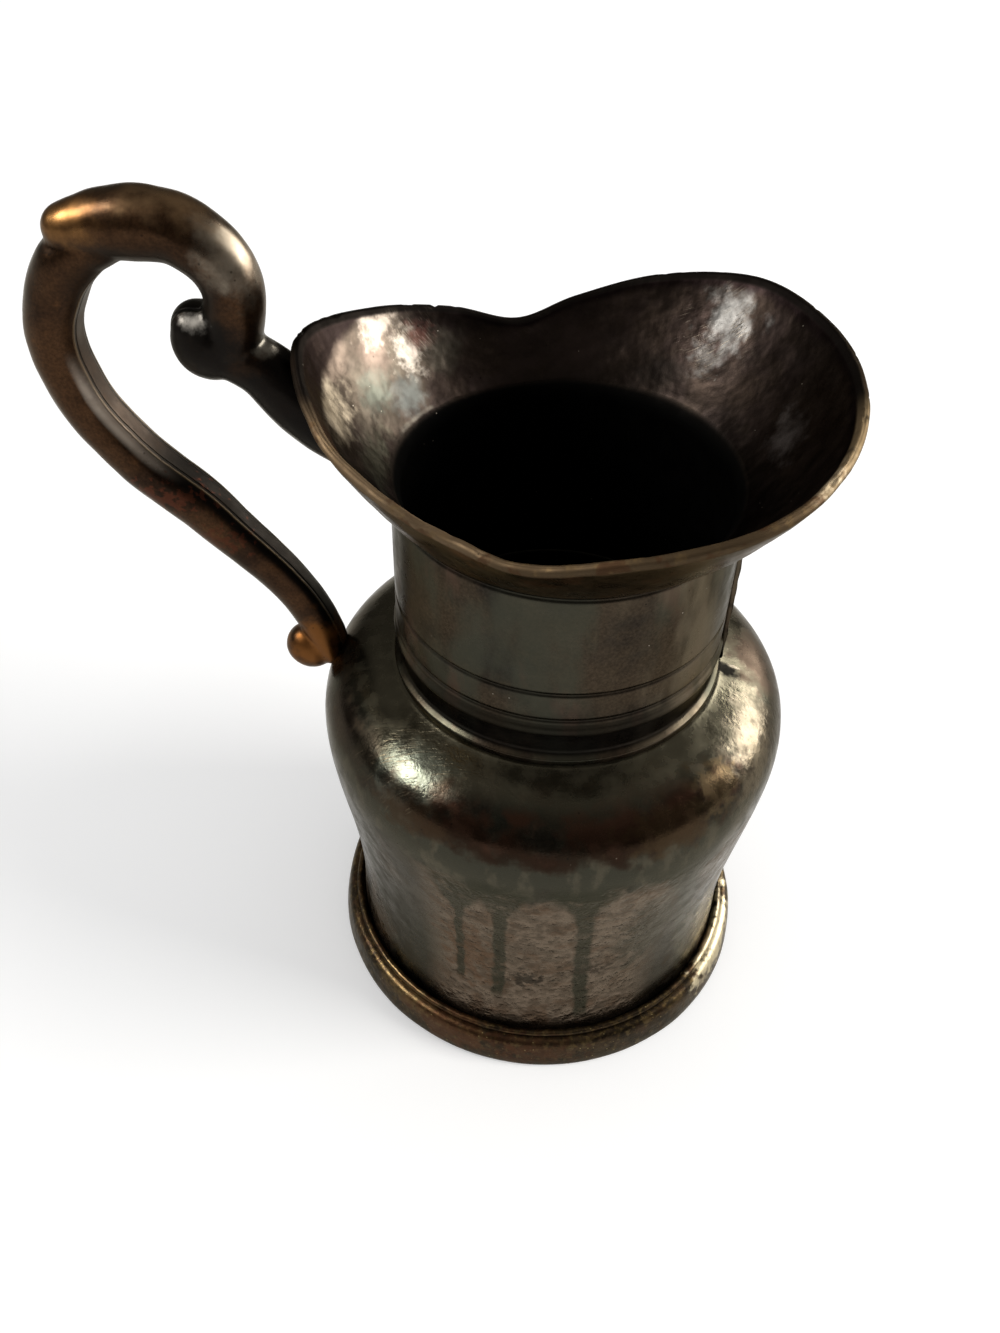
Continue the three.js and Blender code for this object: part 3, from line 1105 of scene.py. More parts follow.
LIP_STAINS_AND_LIGHT = (
    # The left lobe's inside: pale patches that are a painted highlight and sheen, among pink and
    # grey-green ones.
    StainOrLightPatch((-23.0, 8.0, 87.5), (8.0, 14.0, 8.0), "4a433a", 0.85, 0.6, 0.0, 0.1),
    StainOrLightPatch((-24.2, 8.8, 88.5), (4.0, 4.5, 3.5), "64564d", 0.7, 0.8, 0.0, 0.1),
    StainOrLightPatch((-27.0, 3.0, 91.0), (3.5, 6.0, 3.5), "5f5349", 0.7, 0.8, 0.0, 0.1),
    StainOrLightPatch((-24.2, 11.4, 90.6), (4.2, 3.6, 2.8), "8d8277", 0.85, 1.4, 0.0, 0.0),
    StainOrLightPatch((-20.6, 12.7, 86.6), (2.4, 2.6, 3.4), "958d83", 0.85, 1.4, 0.0, 0.0),
    StainOrLightPatch((-19.6, 14.9, 87.6), (2.6, 2.4, 2.2), "5f3d36", 0.6, 1.0, 0.0, 0.1),
    StainOrLightPatch((-17.3, 15.8, 85.8), (4.0, 3.6, 3.4), "433e36", 0.7, 0.8, 0.0, 0.1),
    StainOrLightPatch((-23.0, 5.2, 85.6), (3.2, 4.2, 2.8), "484b43", 0.75, 0.8, 0.0, 0.1),
    StainOrLightPatch((-20.2, 8.8, 83.5), (3.4, 3.8, 2.8), "4a4c49", 0.8, 0.8, 0.0, 0.1),
    # A painted highlight at the left lobe's front.
    StainOrLightPatch((-25.4, -4.4, 88.8), (3.4, 6.0, 4.0), "a0937f", 0.85, 0.8, 0.0, 0.2),
    StainOrLightPatch((-20.6, -4.0, 83.2), (4.0, 8.0, 3.0), "3a392f", 0.7, 0.8, 0.0, 0.1),
    # Painted shade low on the far side of the mouth.
    StainOrLightPatch((9.0, 20.0, 82.8), (6.5, 4.5, 3.2), "0e0b09", 0.7, 0.8, 0.0, 0.1),
    # The right lobe: a painted highlight and the streak below it.
    StainOrLightPatch((17.0, 22.5, 89.0), (4.5, 4.5, 5.5), "535250", 0.8, 1.5, 0.0, 0.1),
    StainOrLightPatch((14.2, 20.0, 85.2), (2.2, 2.2, 2.6), "393735", 0.7, 1.6, 0.0, 0.1),
    StainOrLightPatch((16.5, 19.0, 83.4), (1.4, 1.6, 1.4), "55544f", 0.7, 1.6, 0.0, 0.1),
    StainOrLightPatch((23.6, 3.7, 85.8), (4.5, 5.0, 3.0), "5c5654", 0.7, 0.9, 0.0, 0.0),
)


@dataclass
class Neck:
    """The neck with its turned lines, flare, lip and lapped seam."""

    radius: float = 20.3
    wall: float = 1.1
    foot: float = 54.2
    flange: Point = (20.7, 55.0)
    cove: tuple[float, float, float] = (19.9, 55.5, 58.6)
    bead: tuple[float, float, float] = (20.6, 59.0, 59.8)
    lines: tuple[float, ...] = (61.2, 65.3, 79.2)
    line_width: float = 0.8
    line_depth: float = 0.25
    flare: float = 79.6
    spread: float = 0.56
    climb: float = 0.4
    straight: float = 15.0
    rows: int = 18
    columns: int = 320
    edge_steps: int = 720
    edge: tuple[tuple[float, float, float], ...] = (
        (0, 30.1, 94.1),
        (28, 30.8, 93.8),
        (52, 31.6, 93.2),
        (75, 29.4, 90.8),
        (95, 27.1, 87.8),
        (112, 24.5, 86.5),
        (130, 26.2, 88.6),
        (152, 28.5, 91.1),
        (180, 30.5, 94.0),
    )
    lap_width: float = 3.4
    lap_proud: float = 0.8
    lap_foot: float = 56.4
    lap_wear: HandWork = HandWork(0.5, 2.2, 12.0)
    lap_sway: HandWork = HandWork(0.3, 4.0, 15.0)
    lip_dents: tuple[HandWork, ...] = (HandWork(0.22, 6.0, 3.0), HandWork(0.14, 1.6, 8.0))

    def __post_init__(self) -> None:
        """Samples the lip edge by azimuth."""
        near = [self._corner(row, 1) for row in self.edge]
        far = [self._corner(row, -1) for row in reversed(self.edge[1:-1])]
        loop = [through(near + far, True, i / self.edge_steps) for i in range(self.edge_steps)]
        rows = sorted((math.atan2(p.y, p.x), math.hypot(p.x, p.y), p.z) for p in loop)
        self._azimuths, self._reaches, self._heights = (np.array(column) for column in zip(*rows))

    @staticmethod
    def _corner(row: tuple[float, float, float], side: int) -> Vector:
        """One point of the lip edge.

        Args:
            row: Its azimuth in degrees, its reach and its height.
            side: 1 on the far side and -1 on the near side.

        Returns:
            The point.
        """
        angle = math.radians(row[0]) * side
        return Vector((row[1] * math.cos(angle), row[1] * math.sin(angle), row[2]))

    def rim_at(self, azimuth: float) -> Point:
        """A place on the lip edge.

        Args:
            azimuth: Where round the neck, in radians.

        Returns:
            Its reach and height.
        """
        return tuple(
            float(np.interp(azimuth, self._azimuths, values, period=math.tau))
            for values in (self._reaches, self._heights)
        )

    def flare_at(self, azimuth: float, share: float) -> tuple[Vector, Vector]:
        """The outer face of the flare.

        Args:
            azimuth: Where round the neck, in radians.
            share: How far up the flare; past 1 it goes straight on.

        Returns:
            The place as radius and height, and the direction up the face.
        """
        reach, height = self.rim_at(azimuth)
        start = Vector((self.radius, self.flare))
        stop = Vector((reach, height))
        bend = Vector((lerp(self.radius, reach, self.spread), lerp(self.flare, height, self.climb)))
        part = min(share, 1.0)
        place = start.lerp(bend, part).lerp(bend.lerp(stop, part), part)
        along = (bend - start).lerp(stop - bend, part).normalized()
        return place + along * (share - part) * self.straight, along

    def radius_at(self, height: float) -> float:
        """The outer radius behind the handle.

        Args:
            height: Where to measure it.

        Returns:
            The radius.
        """
        if height <= self.flare:
            return self.radius
        line = [self.flare_at(math.pi, i / 40)[0] for i in range(41)]
        return float(np.interp(height, [p.y for p in line], [p.x for p in line]))

    def section(self) -> list[Point]:
        """The neck's wall before the flare is shaped, with the flare as a straight tube.

        Returns:
            The points round the section.
        """
        bore = self.radius - self.wall
        shape = Outline().to(bore, self.foot).to(self.flange[0], self.foot, 0.1)
        shape.to(self.flange[0], self.flange[1], 0.15)
        cove, low, high = self.cove
        shape.to(cove, low, 0.5).to(cove, high, 0.3)
        proud, start, stop = self.bead
        shape.to(proud, start, 0.35).to(proud, stop, 0.35).to(self.radius, stop + 0.5, 0.3)
        for line in self.lines:
            shape.to(self.radius, line - self.line_width / 2, 0.2)
            shape.to(self.radius - self.line_depth, line, 0.2)
            shape.to(self.radius, line + self.line_width / 2, 0.2)
        top = self.flare + self.straight
        rows = [self.flare + self.straight * i / self.rows for i in range(self.rows + 1)]
        shape.follow((self.radius, height) for height in rows)
        middle, half = self.radius - self.wall / 2, self.wall / 2
        crest = [math.pi * i / 6 for i in range(1, 6)]
        shape.follow((middle + half * math.cos(a), top + half * 0.9 * math.sin(a)) for a in crest)
        shape.follow((bore, height) for height in reversed(rows))
        return shape.points(1.2)

    def tube(self) -> bmesh.types.BMesh:
        """The neck and lip, with how far up and how far inside each point is.

        Returns:
            The solid.
        """
        mesh = spun(self.section(), self.columns)
        rise = mesh.verts.layers.float.new("rise")
        inner = mesh.verts.layers.float.new("inner")
        for vert in mesh.verts:
            azimuth = math.atan2(vert.co.y, vert.co.x)
            radius = math.hypot(vert.co.x, vert.co.y)
            depth = self.radius - radius
            share = (vert.co.z - self.flare) / self.straight
            vert[inner] = min(max(depth / self.wall, 0.0), 1.0)
            vert[rise] = share
            if share < 0:
                continue
            place, along = self.flare_at(azimuth, share)
            fade = min(share * 3.0, 1.0)
            dent = fade * sum(work.sway(vert.co) for work in self.lip_dents)
            nick = max(0.0, wander(vert.co, 0.8, 6.0) - 0.66) * 0.9 * max(0.0, share - 0.96) * 25
            left = Vector((-along.y, along.x))
            spot = place + left * (depth + dent) - along * min(nick, 0.25)
            vert.co = Vector((spot.x * math.cos(azimuth), spot.x * math.sin(azimuth), spot.y))
        return mesh

    def lap(self) -> bmesh.types.BMesh:
        """The lap of the seam, a worn strip with a broken lower end.

        Returns:
            The solid.
        """
        inner, outer = self.radius - 0.3, self.radius + self.lap_proud
        section = Outline().to(inner, self.lap_foot).to(outer, self.lap_foot + 0.2, 0.3)
        top = self.flare - 0.2
        section.to(outer, self.flare - 6.0, 3.0).to(self.radius - 0.1, top).to(inner, top)
        mesh = spun(section.points(0.5), 16, self.lap_width / self.radius)
        for vert in mesh.verts:
            radius = math.hypot(vert.co.x, vert.co.y)
            proud = min(max((radius - self.radius) / self.lap_proud, 0.0), 1.0)
            worn = 1.0 - proud * self.lap_wear.at(vert.co)
            if radius > self.radius:
                scale = (self.radius + (radius - self.radius) * worn) / radius
                vert.co.x *= scale
                vert.co.y *= scale
            vert.co.y += self.lap_sway.sway(vert.co)
        return mesh

    def finish(self) -> bpy.types.Material:
        """Dark bronze outside, purple-brown and grey inside the lip with painted highlights in both lobes,
        and painted shade: black in the throat and darker low in the mouth.

        Returns:
            The material.
        """
        metal = MetalSurface(NECK_BRONZE)
        rise = metal.attribute("rise")
        inside = metal.attribute("inner").rise(0.6, 0.95)
        outside = 1.0 - inside
        flared = rise.rise(-0.02, 0.08)
        lining = inside * flared
        self._tarnish_and_shade_outside(metal, outside, flared)
        metal.tint(lining * 0.8, "1c1513")
        metal.mottle(lining * 0.5, "271f1d", 5.0, 63.0, (0.46, 0.6), 6.0)
        # Stains in the lip, with painted highlights and painted shade among them.
        metal.tone_patch(*LIP_STAINS_AND_LIGHT)
        # Painted shade: black deep in the throat.
        throat = inside * rise.rise(0.07, 0.03)
        metal.tint(throat, "030303")
        metal.rough += throat * 0.3
        # A painted highlight: a thin pale crescent where the flare starts.
        crescent_highlight = metal.near((-18.1, 5.5, 80.2), (3.0, 6.0, 2.5), 0.5)
        metal.tint(inside * crescent_highlight * abs(rise - 0.09).rise(0.035, 0.005) * 0.4, "5f5b52")
        # Painted shade: darker low in the mouth on the right.
        metal.tint(lining * metal.x.rise(-14.0, -4.0) * rise.rise(0.4, 0.05) * 0.5, "0e0b09")
        self._tone_lip_edge(metal, lining, rise)
        metal.rings(0.45, 0.006, outside)
        lit = metal.near((15.5, 22.0, 88.0), (6.0, 6.0, 7.0), 0.6, 0.2)
        lit = lit + metal.near((-20.5, 13.0, 88.0), (5.0, 6.0, 5.0), 0.6, 0.2)
        metal.scratches(0.1, (28.0, -20.0, 68.0, -50.0), 0.012, lining * lit)
        metal.peel(0.9, 0.05, lining * lit)
        metal.rough += lining * 0.06
        metal.relief += metal.marks(3.5, 2.0, 95.0) * lining * 0.25
        metal.specks(2.1, 0.1, "b8afa0", 0.6, 0.4)
        metal.specks(1.9, 0.14, "0a0909", 0.7, 0.6)
        return metal.done()

    def _tarnish_and_shade_outside(self, metal: MetalSurface, outside: Wire, flared: Wire) -> None:
        """Lays upright streaks on the neck, a brown flare and dark lines, and painted shade in the cove
        and on the bead's near side.

        Args:
            metal: The neck's surface.
            outside: The mask of the outer face.
            flared: The mask of the flare.
        """
        upright = (1.0, 1.0, 3.0)
        metal.tint(outside * metal.x.rise(-17.5, -19.6) * 0.85, "12110c")
        metal.mottle(outside * 0.7, "3c3c32", 9.0, 51.0, (0.42, 0.6), 4.0, upright)
        metal.mottle(outside * 0.6, "4c3b31", 6.0, 57.0, (0.5, 0.66), 4.0, (1.0, 1.0, 2.5))
        right = metal.x.rise(4.0, 16.0)
        metal.mottle(outside * right * 0.65, "665c4c", 7.0, 59.0, (0.4, 0.6), 4.0, upright)
        metal.tint(outside * flared * 0.8, "433422")
        metal.mottle(outside * flared * 0.5, "2a261e", 7.0, 101.0, (0.48, 0.6))
        metal.mottle(outside * flared * 0.5, "553a26", 4.0, 103.0, (0.54, 0.66))
        for line in self.lines:
            metal.tint(outside * abs(metal.z - line).rise(0.6, 0.1) * 0.55, "0e0d0c")
        # Painted shade: black in the cove under the bead.
        metal.tint(outside * abs(metal.z - 57.0).rise(2.0, 1.4) * 0.8, "0b0a0a")
        # Painted shade: the bead darker and rougher on the near side, where it would shine.
        bead = abs(metal.z - 59.7).rise(1.3, 0.7) * metal.y.rise(-12.0, -17.0)
        metal.tint(outside * bead * 0.75, "16140f")
        metal.rough += outside * bead * 0.15

    @staticmethod
    def _tone_lip_edge(metal: MetalSurface, lining: Wire, rise: Wire) -> None:
        """Lays the dark band under the lip's edge and the edge itself, brown on the near side, with a
        painted highlight by the spout.

        Args:
            metal: The neck's surface.
            lining: The mask of the flare's inner face.
            rise: How far up the flare a point lies.
        """
        front = (metal.y + (metal.marks(6.0, 3.0, 81.0) - 0.5) * 6.0).rise(-8.0, -15.0)
        reach = metal.x.rise(-19.0, -27.0) * metal.y.rise(12.0, 0.0) * 0.15
        reach = reach - metal.y.rise(4.0, 13.0) * metal.x.rise(-12.0, -19.0) * 0.05
        band = lining * (rise + reach + (metal.marks(3.0, 4.0, 97.0) - 0.5) * 0.12).rise(0.88, 0.96)
        metal.tint(band * (1.0 - front * 0.6) * 0.97, "120b0b")
        metal.tint(band * front * metal.x.rise(-6.0, -16.0) * 0.7, "4a2f20")
        rim = rise.rise(0.955, 0.985)
        metal.tint(rim * 0.9, "120f0d")
        metal.tint(rim * front * 0.85, "4f4130")
        metal.tint(rim * front * metal.x.rise(-3.0, -11.0) * 0.65, "6c5b47")
        metal.mottle(rim * front * 0.4, "6e5a3c", 1.2, 71.0, (0.5, 0.7))
        metal.mottle(rim * front * 0.6, "412a1b", 3.0, 77.0, (0.54, 0.62))
        # A painted highlight, mottled onto the rim by the spout.
        spout = metal.x.rise(22.0, 27.0) * metal.y.rise(0.0, -7.0)
        metal.mottle(rim * spout * 0.8, "6f5f48", 2.0, 79.0, (0.3, 0.5))
        metal.rough += rim * 0.28
        chips = metal.near((26.5, -16.0, 94.2), (5.0, 6.0, 3.0), 0.6)
        metal.tint(rim * chips * (metal.marks(1.1, 5.0, 85.0).rise(0.42, 0.62) * 0.55 + 0.1), "978a74")

    def build(self) -> None:
        """Makes the neck with its lap as one piece and dresses it."""
        mesh = self.tube()
        strip = mesh_data("seam", self.lap())
        mesh.from_mesh(strip)
        bpy.data.meshes.remove(strip)
        add_piece("neck_and_mouth", mesh, self.finish(), "neck_and_lip")


@dataclass(frozen=True)
class Limb:
    """A limb of the handle, swept along its stations.

    Args:
        stations: Reach from the axis, height, half depth and half width.
        round_side: The side of the path on which it is round.
        capped: Whether its far end is rounded.
        taper: How fast its girth grows from the near end, so that the end rounds off without a step.
    """

    stations: tuple[Station, ...]
    round_side: Side
    capped: bool = True
    taper: float = 0.0
    sides: int = 40
    flat: float = 0.92

    def at(self, share: float) -> tuple[Vector, Vector, float, float]:
        """A section of the limb.

        Args:
            share: How far along it lies, from 0 to 1.

        Returns:
            Its centre, its direction, its half depth and its half width.
        """
        centres = [Vector((-reach, 0.0, height)) for reach, height, _, _ in self.stations]
        girths = [Vector((depth, width, 0.0)) for _, _, depth, width in self.stations]
        before, after = max(share - 1e-3, 0.0), min(share + 1e-3, 1.0)
        along = (through(centres, False, after) - through(centres, False, before)).normalized()
        girth = through(girths, False, share)
        return through(centres, False, share), along, girth.x, girth.y

    def rings(self) -> list[tuple[float, float, float]]:
        """Share, shift along and scale of each ring.

        Returns:
            A row for each ring, from the near end on.
        """
        spans = (len(self.stations) - 1) * 5
        ball = math.hypot(1.0, self.taper)
        near = [(math.pi / 2 - math.atan(self.taper)) * i / 5 for i in range(1, 5)]
        made = [(0.0, self.taper - ball * math.cos(a), ball * math.sin(a)) for a in near]
        quarter = [math.pi / 2 * i / 5 for i in range(1, 5)]
        made += [(i / spans, 0.0, 1.0) for i in range(spans + 1)]
        if self.capped:
            made += [(1.0, math.cos(a), math.sin(a)) for a in reversed(quarter)]
        return made

    def add_to(self, mesh: bmesh.types.BMesh) -> None:
        """Adds the limb to a mesh as a closed skin.

        Args:
            mesh: The mesh.
        """
        before: list[bmesh.types.BMEdge] = []
        for share, shift, scale in self.rings():
            centre, along, depth, width = self.at(share)
            outward = Vector((-along.z, 0.0, along.x)) * self.round_side.value
            made = bmesh.ops.create_circle(mesh, cap_ends=False, radius=1.0, segments=self.sides)
            for vert in made["verts"]:
                cut = max(vert.co.x, -self.flat)
                side = (2 * cut - 1 + self.flat) / (1 + self.flat)
                across = vert.co.y * width * scale
                vert.co = centre + along * shift * depth + outward * side * depth * scale
                vert.co.y += across
            ring = list({edge for vert in made["verts"] for edge in vert.link_edges})
            if before:
                bmesh.ops.bridge_loops(mesh, edges=before + ring)
            before = ring
        bmesh.ops.holes_fill(mesh, edges=[e for e in mesh.edges if e.is_boundary], sides=0)


@dataclass(frozen=True)
class Lobe:
    """A rounded end of the handle: a ball pressed flat across the handle's plane."""

    reach: float
    height: float
    radius: float
    half_width: float

    def add_to(self, mesh: bmesh.types.BMesh) -> None:
        """Adds the ball to a mesh.

        Args:
            mesh: The mesh.
        """
        place = Matrix.Translation((-self.reach, 0.0, self.height))
        press = Matrix.Scale(self.half_width / self.radius, 4, (0.0, 1.0, 0.0))
        bmesh.ops.create_uvsphere(
            mesh, u_segments=32, v_segments=20, radius=self.radius, matrix=place @ press
        )


UPPER_SCROLL: tuple[Station, ...] = (
    (54.2, 104.6, 2.5, 2.6), (52.6, 105.0, 2.9, 3.0), (51.1, 105.3, 3.2, 3.3),
    (49.5, 105.7, 3.4, 3.5), (47.8, 105.9, 3.6, 3.7), (46.0, 106.1, 3.7, 3.8),
    (44.2, 106.1, 3.6, 3.8), (41.8, 105.8, 3.5, 3.7), (39.3, 104.4, 3.4, 3.6),
    (37.3, 102.3, 3.3, 3.5), (36.4, 99.6, 3.2, 3.5), (36.7, 96.6, 3.2, 3.5),
    (37.4, 93.8, 3.2, 3.5),
)
SCROLL_FILLET: tuple[Station, ...] = (
    (53.3, 100.3, 1.3, 2.4), (52.0, 101.7, 1.9, 2.8), (50.2, 102.9, 2.0, 3.0),
    (47.7, 103.9, 1.6, 2.8),
)
LOWER_STRAND: tuple[Station, ...] = (
    (52.0, 102.9, 2.9, 3.2), (54.3, 101.0, 3.2, 3.4), (56.1, 98.2, 3.2, 3.4),
    (57.3, 95.2, 3.1, 3.4), (57.8, 92.6, 3.1, 3.4), (57.7, 90.1, 3.1, 3.4),
    (57.1, 87.3, 3.1, 3.4), (56.2, 84.5, 3.1, 3.4), (54.9, 82.0, 3.1, 3.4),
    (52.8, 79.1, 3.1, 3.4), (50.3, 76.1, 3.2, 3.4), (47.2, 73.3, 3.3, 3.3),
    (44.2, 70.6, 3.3, 3.2), (41.3, 67.4, 3.1, 3.0), (38.4, 64.4, 2.9, 2.8),
    (35.7, 61.3, 2.8, 2.6), (33.4, 58.1, 2.7, 2.5), (31.6, 54.6, 2.6, 2.6),
    (30.4, 51.3, 2.5, 2.6), (29.7, 49.0, 2.2, 2.4),
)
ROOT_BRACKET: tuple[Station, ...] = (
    (38.2, 92.4, 3.0, 3.2), (34.5, 90.4, 3.3, 3.0), (30.9, 87.0, 3.9, 3.4),
    (27.8, 84.7, 4.1, 3.8), (24.6, 83.2, 4.2, 4.0), (21.0, 82.4, 3.9, 3.8),
)
HANDLE_STAINS_AND_LIGHT = (
    # Painted highlights: gold at the tip and pale on the arch, and a painted sheen along its top.
    StainOrLightPatch((-53.0, -2.2, 106.8), (5.5, 4.0, 3.5), "8f663a", 0.75, 0.5, 0.0, 0.0),
    StainOrLightPatch((-35.9, -1.0, 104.5), (4.5, 5.0, 6.0), "857b6c", 0.85, 0.7, 0.0, 0.0),
    StainOrLightPatch((-42.0, 0.0, 109.0), (10.0, 4.5, 4.0), "745c42", 0.8, 0.8, 0.0, 0.0),
    StainOrLightPatch((-47.5, -3.0, 73.3), (5.0, 3.0, 2.0), "502a1c", 0.55, 3.0),
    StainOrLightPatch((-42.5, -3.0, 67.5), (4.0, 3.0, 1.8), "4a2618", 0.5, 3.0),
    StainOrLightPatch((-31.5, -2.5, 51.0), (5.0, 5.0, 5.5), "6e451f", 0.8, 1.0, 0.08),
    StainOrLightPatch((-40.0, 0.0, 94.0), (9.0, 8.0, 8.0), "0f0e0d", 0.95, 0.4, 0.0, 0.5),
    StainOrLightPatch((-30.0, 0.0, 87.5), (13.0, 9.0, 8.0), "0d0c0b", 0.95, 0.4, 0.0, 0.6),
    # Painted highlights on the volute and the knob.
    StainOrLightPatch((-40.6, -2.4, 96.6), (2.2, 1.7, 1.2), "8b8781", 0.75, 0.6, 0.08, 0.0),
    StainOrLightPatch((-33.9, -0.5, 93.4), (1.8, 2.0, 1.6), "5c5850", 0.8, 0.5),
    StainOrLightPatch((-31.0, 3.0, 58.0), (5.5, 6.0, 7.0), "0f0d0b", 0.8, 0.6),
)


@dataclass
class Handle:
    """The cast handle: an upper scroll, its fillet, a lower strand, a root bracket and four lobes."""

    upper: Limb = Limb(UPPER_SCROLL, Side.LEFT, taper=0.32)
    fillet: Limb = Limb(SCROLL_FILLET, Side.RIGHT)
    strand: Limb = Limb(LOWER_STRAND, Side.RIGHT)
    bracket: Limb = Limb(ROOT_BRACKET, Side.RIGHT, capped=False)
    volute: Lobe = Lobe(39.8, 93.4, 4.5, 3.8)
    curl: Lobe = Lobe(32.6, 49.2, 3.4, 2.9)
    eye: Lobe = Lobe(41.1, 94.9, 2.9, 3.2)
    knob: Lobe = Lobe(33.8, 92.5, 1.4, 1.4)
    voxel: float = 0.3
    smoothing: int = 3
    let_in: float = 0.5
    section_steps: int = 120
    skin: HandWork = HandWork(0.1, 2.5, 19.0)

    def casting(self, body: Body, neck: Neck) -> bmesh.types.BMesh:
        """The handle as one cast skin, with its hidden ends let into the walls.

        Args:
            body: The body that the lower end sits on.
            neck: The neck that the bracket is soldered to.

        Returns:
            The solid, with how far round the section each point lies.
        """
        rough = bmesh.new()
        limbs = (self.upper, self.fillet, self.strand, self.bracket)
        for part in (*limbs, self.volute, self.eye, self.curl, self.knob):
            part.add_to(rough)
        bmesh.ops.recalc_face_normals(rough, faces=rough.faces)
        data = mesh_data("rough casting", rough)
        blank = linked("rough casting", data)
        remesh = blank.modifiers.new("cast", "REMESH")
        remesh.mode = "VOXEL"
        remesh.voxel_size = self.voxel
        graph = bpy.context.evaluated_depsgraph_get()
        cast = bpy.data.meshes.new_from_object(blank.evaluated_get(graph))
        mesh = bmesh.new()
        mesh.from_mesh(cast)
        bpy.data.objects.remove(blank)
        bpy.data.meshes.remove(cast)
        bpy.data.meshes.remove(data)
        for _ in range(self.smoothing):
            bmesh.ops.smooth_vert(
                mesh, verts=mesh.verts, factor=0.5, use_axis_x=True, use_axis_y=True, use_axis_z=True
            )
        self._bring_back(mesh, body, neck)
        self._mark_section(mesh)
        for vert in mesh.verts:
            vert.co -= vert.normal * self.skin.at(vert.co)
        return mesh

    def _bring_back(self, mesh: bmesh.types.BMesh, body: Body, neck: Neck) -> None:
        """Brings what reaches through a wall back to the wall's middle.

        Args:
            mesh: The casting.
            body: The body with its wall.
            neck: The neck with its wall.
        """
        lowest, highest, step = 40.0, 100.0, 0.25
        heights = np.arange(lowest, highest, step)
        radii = [body.radius_at(h) if h < neck.foot else neck.radius_at(h) for h in heights]
        for vert in mesh.verts:
            limit = float(np.interp(vert.co.z, heights, radii)) - self.let_in
            radius = math.hypot(vert.co.x, vert.co.y)
            if radius < limit:
                vert.co.x *= limit / radius
                vert.co.y *= limit / radius

    def _mark_section(self, mesh: bmesh.types.BMesh) -> None:
        """Writes how far inwards and across each point lies in its section.

        Args:
            mesh: The casting.
        """
        centres, outwards, sizes = [], [], []
        for limb in (self.upper, self.strand):
            for i in range(self.section_steps + 1):
                centre, along, depth, width = limb.at(i / self.section_steps)
                centres.append(centre)
                outwards.append(Vector((-along.z, 0.0, along.x)) * limb.round_side.value)
                sizes.append((depth, width))
        places = np.array([tuple(vert.co) for vert in mesh.verts])
        middles, outs, girths = np.array(centres), np.array(outwards), np.array(sizes)
        inward = mesh.verts.layers.float.new("inward")
        across = mesh.verts.layers.float.new("across")
        mesh.verts.ensure_lookup_table()
        batch = 4000
        for start in range(0, len(places), batch):
            part = places[start : start + batch]
            gaps = np.linalg.norm(part[:, None, [0, 2]] - middles[None, :, [0, 2]], axis=2)
            nearest = gaps.argmin(axis=1)
            offset = part - middles[nearest]
            depth = -(offset * outs[nearest]).sum(axis=1) / girths[nearest, 0]
            width = np.abs(offset[:, 1]) / girths[nearest, 1]
            for k in range(len(part)):
                vert = mesh.verts[start + k]
                vert[inward] = float(depth[k])
                vert[across] = float(width[k])

    def finish(self) -> bpy.types.Material:
        """Brown bronze with a grey inner face, copper pits, a black volute and an orange curl, with
        painted highlights and painted shade.

        Returns:
            The material.
        """
        metal = MetalSurface(HANDLE_BROWN)
        inward, across = metal.attribute("inward"), metal.attribute("across")
        inner_side = inward.rise(0.6, 0.8)
        face = inner_side * across.rise(0.42, 0.34)
        groove = inner_side * abs(across - 0.36).rise(0.07, 0.015)
        metal.tint(face * 0.6, "2a2622")
        # Painted shade: the inner face darker low down.
        metal.tint(inner_side * metal.z.rise(82.0, 76.0) * 0.95, "0c0907")
        metal.rough += inner_side * 0.15
        metal.tint(groove * 0.85, "0d0a08")
        metal.relief -= groove * 0.1
        # A raised ridge on the inner face, with a painted highlight along it.
        ridge = inner_side * abs(across - 0.46).rise(0.06, 0.01)
        metal.relief += ridge * 0.06
        metal.tint(ridge * 0.5, "6f604a")
        # A painted highlight on the strand's inner shoulder, with pale specks.
        shoulder = abs(inward - 0.8).rise(0.22, 0.0) * metal.z.rise(75.0, 81.0) * metal.z.rise(92.0, 85.0)
        metal.tint(shoulder * (metal.marks(2.5, 3.0, 91.0).rise(0.2, 0.6) * 0.3 + 0.7), "b3a698")
        metal.tint(shoulder * metal.marks(0.6, 3.0, 93.0).rise(0.56, 0.66) * 0.3, "b3a99c")
        # Painted shade under the upper scroll.
        metal.tint(metal.z.rise(97.0, 100.0) * inward.rise(-0.1, 0.7) * 0.7, "150e09")
        # Stains, with painted highlights on the tip, the arch, the volute and the knob.
        metal.tone_patch(*HANDLE_STAINS_AND_LIGHT)
        metal.specks(1.6, 0.1, "8a6a3e", 0.35, 0.2)
        metal.specks(1.3, 0.17, "120c08", 0.6, 0.5)
        return metal.done()

    def build(self, body: Body, neck: Neck) -> None:
        """Makes and dresses the handle."""
        mesh = self.casting(body, neck)
        add_piece("handle_casting", mesh, self.finish(), "handle")


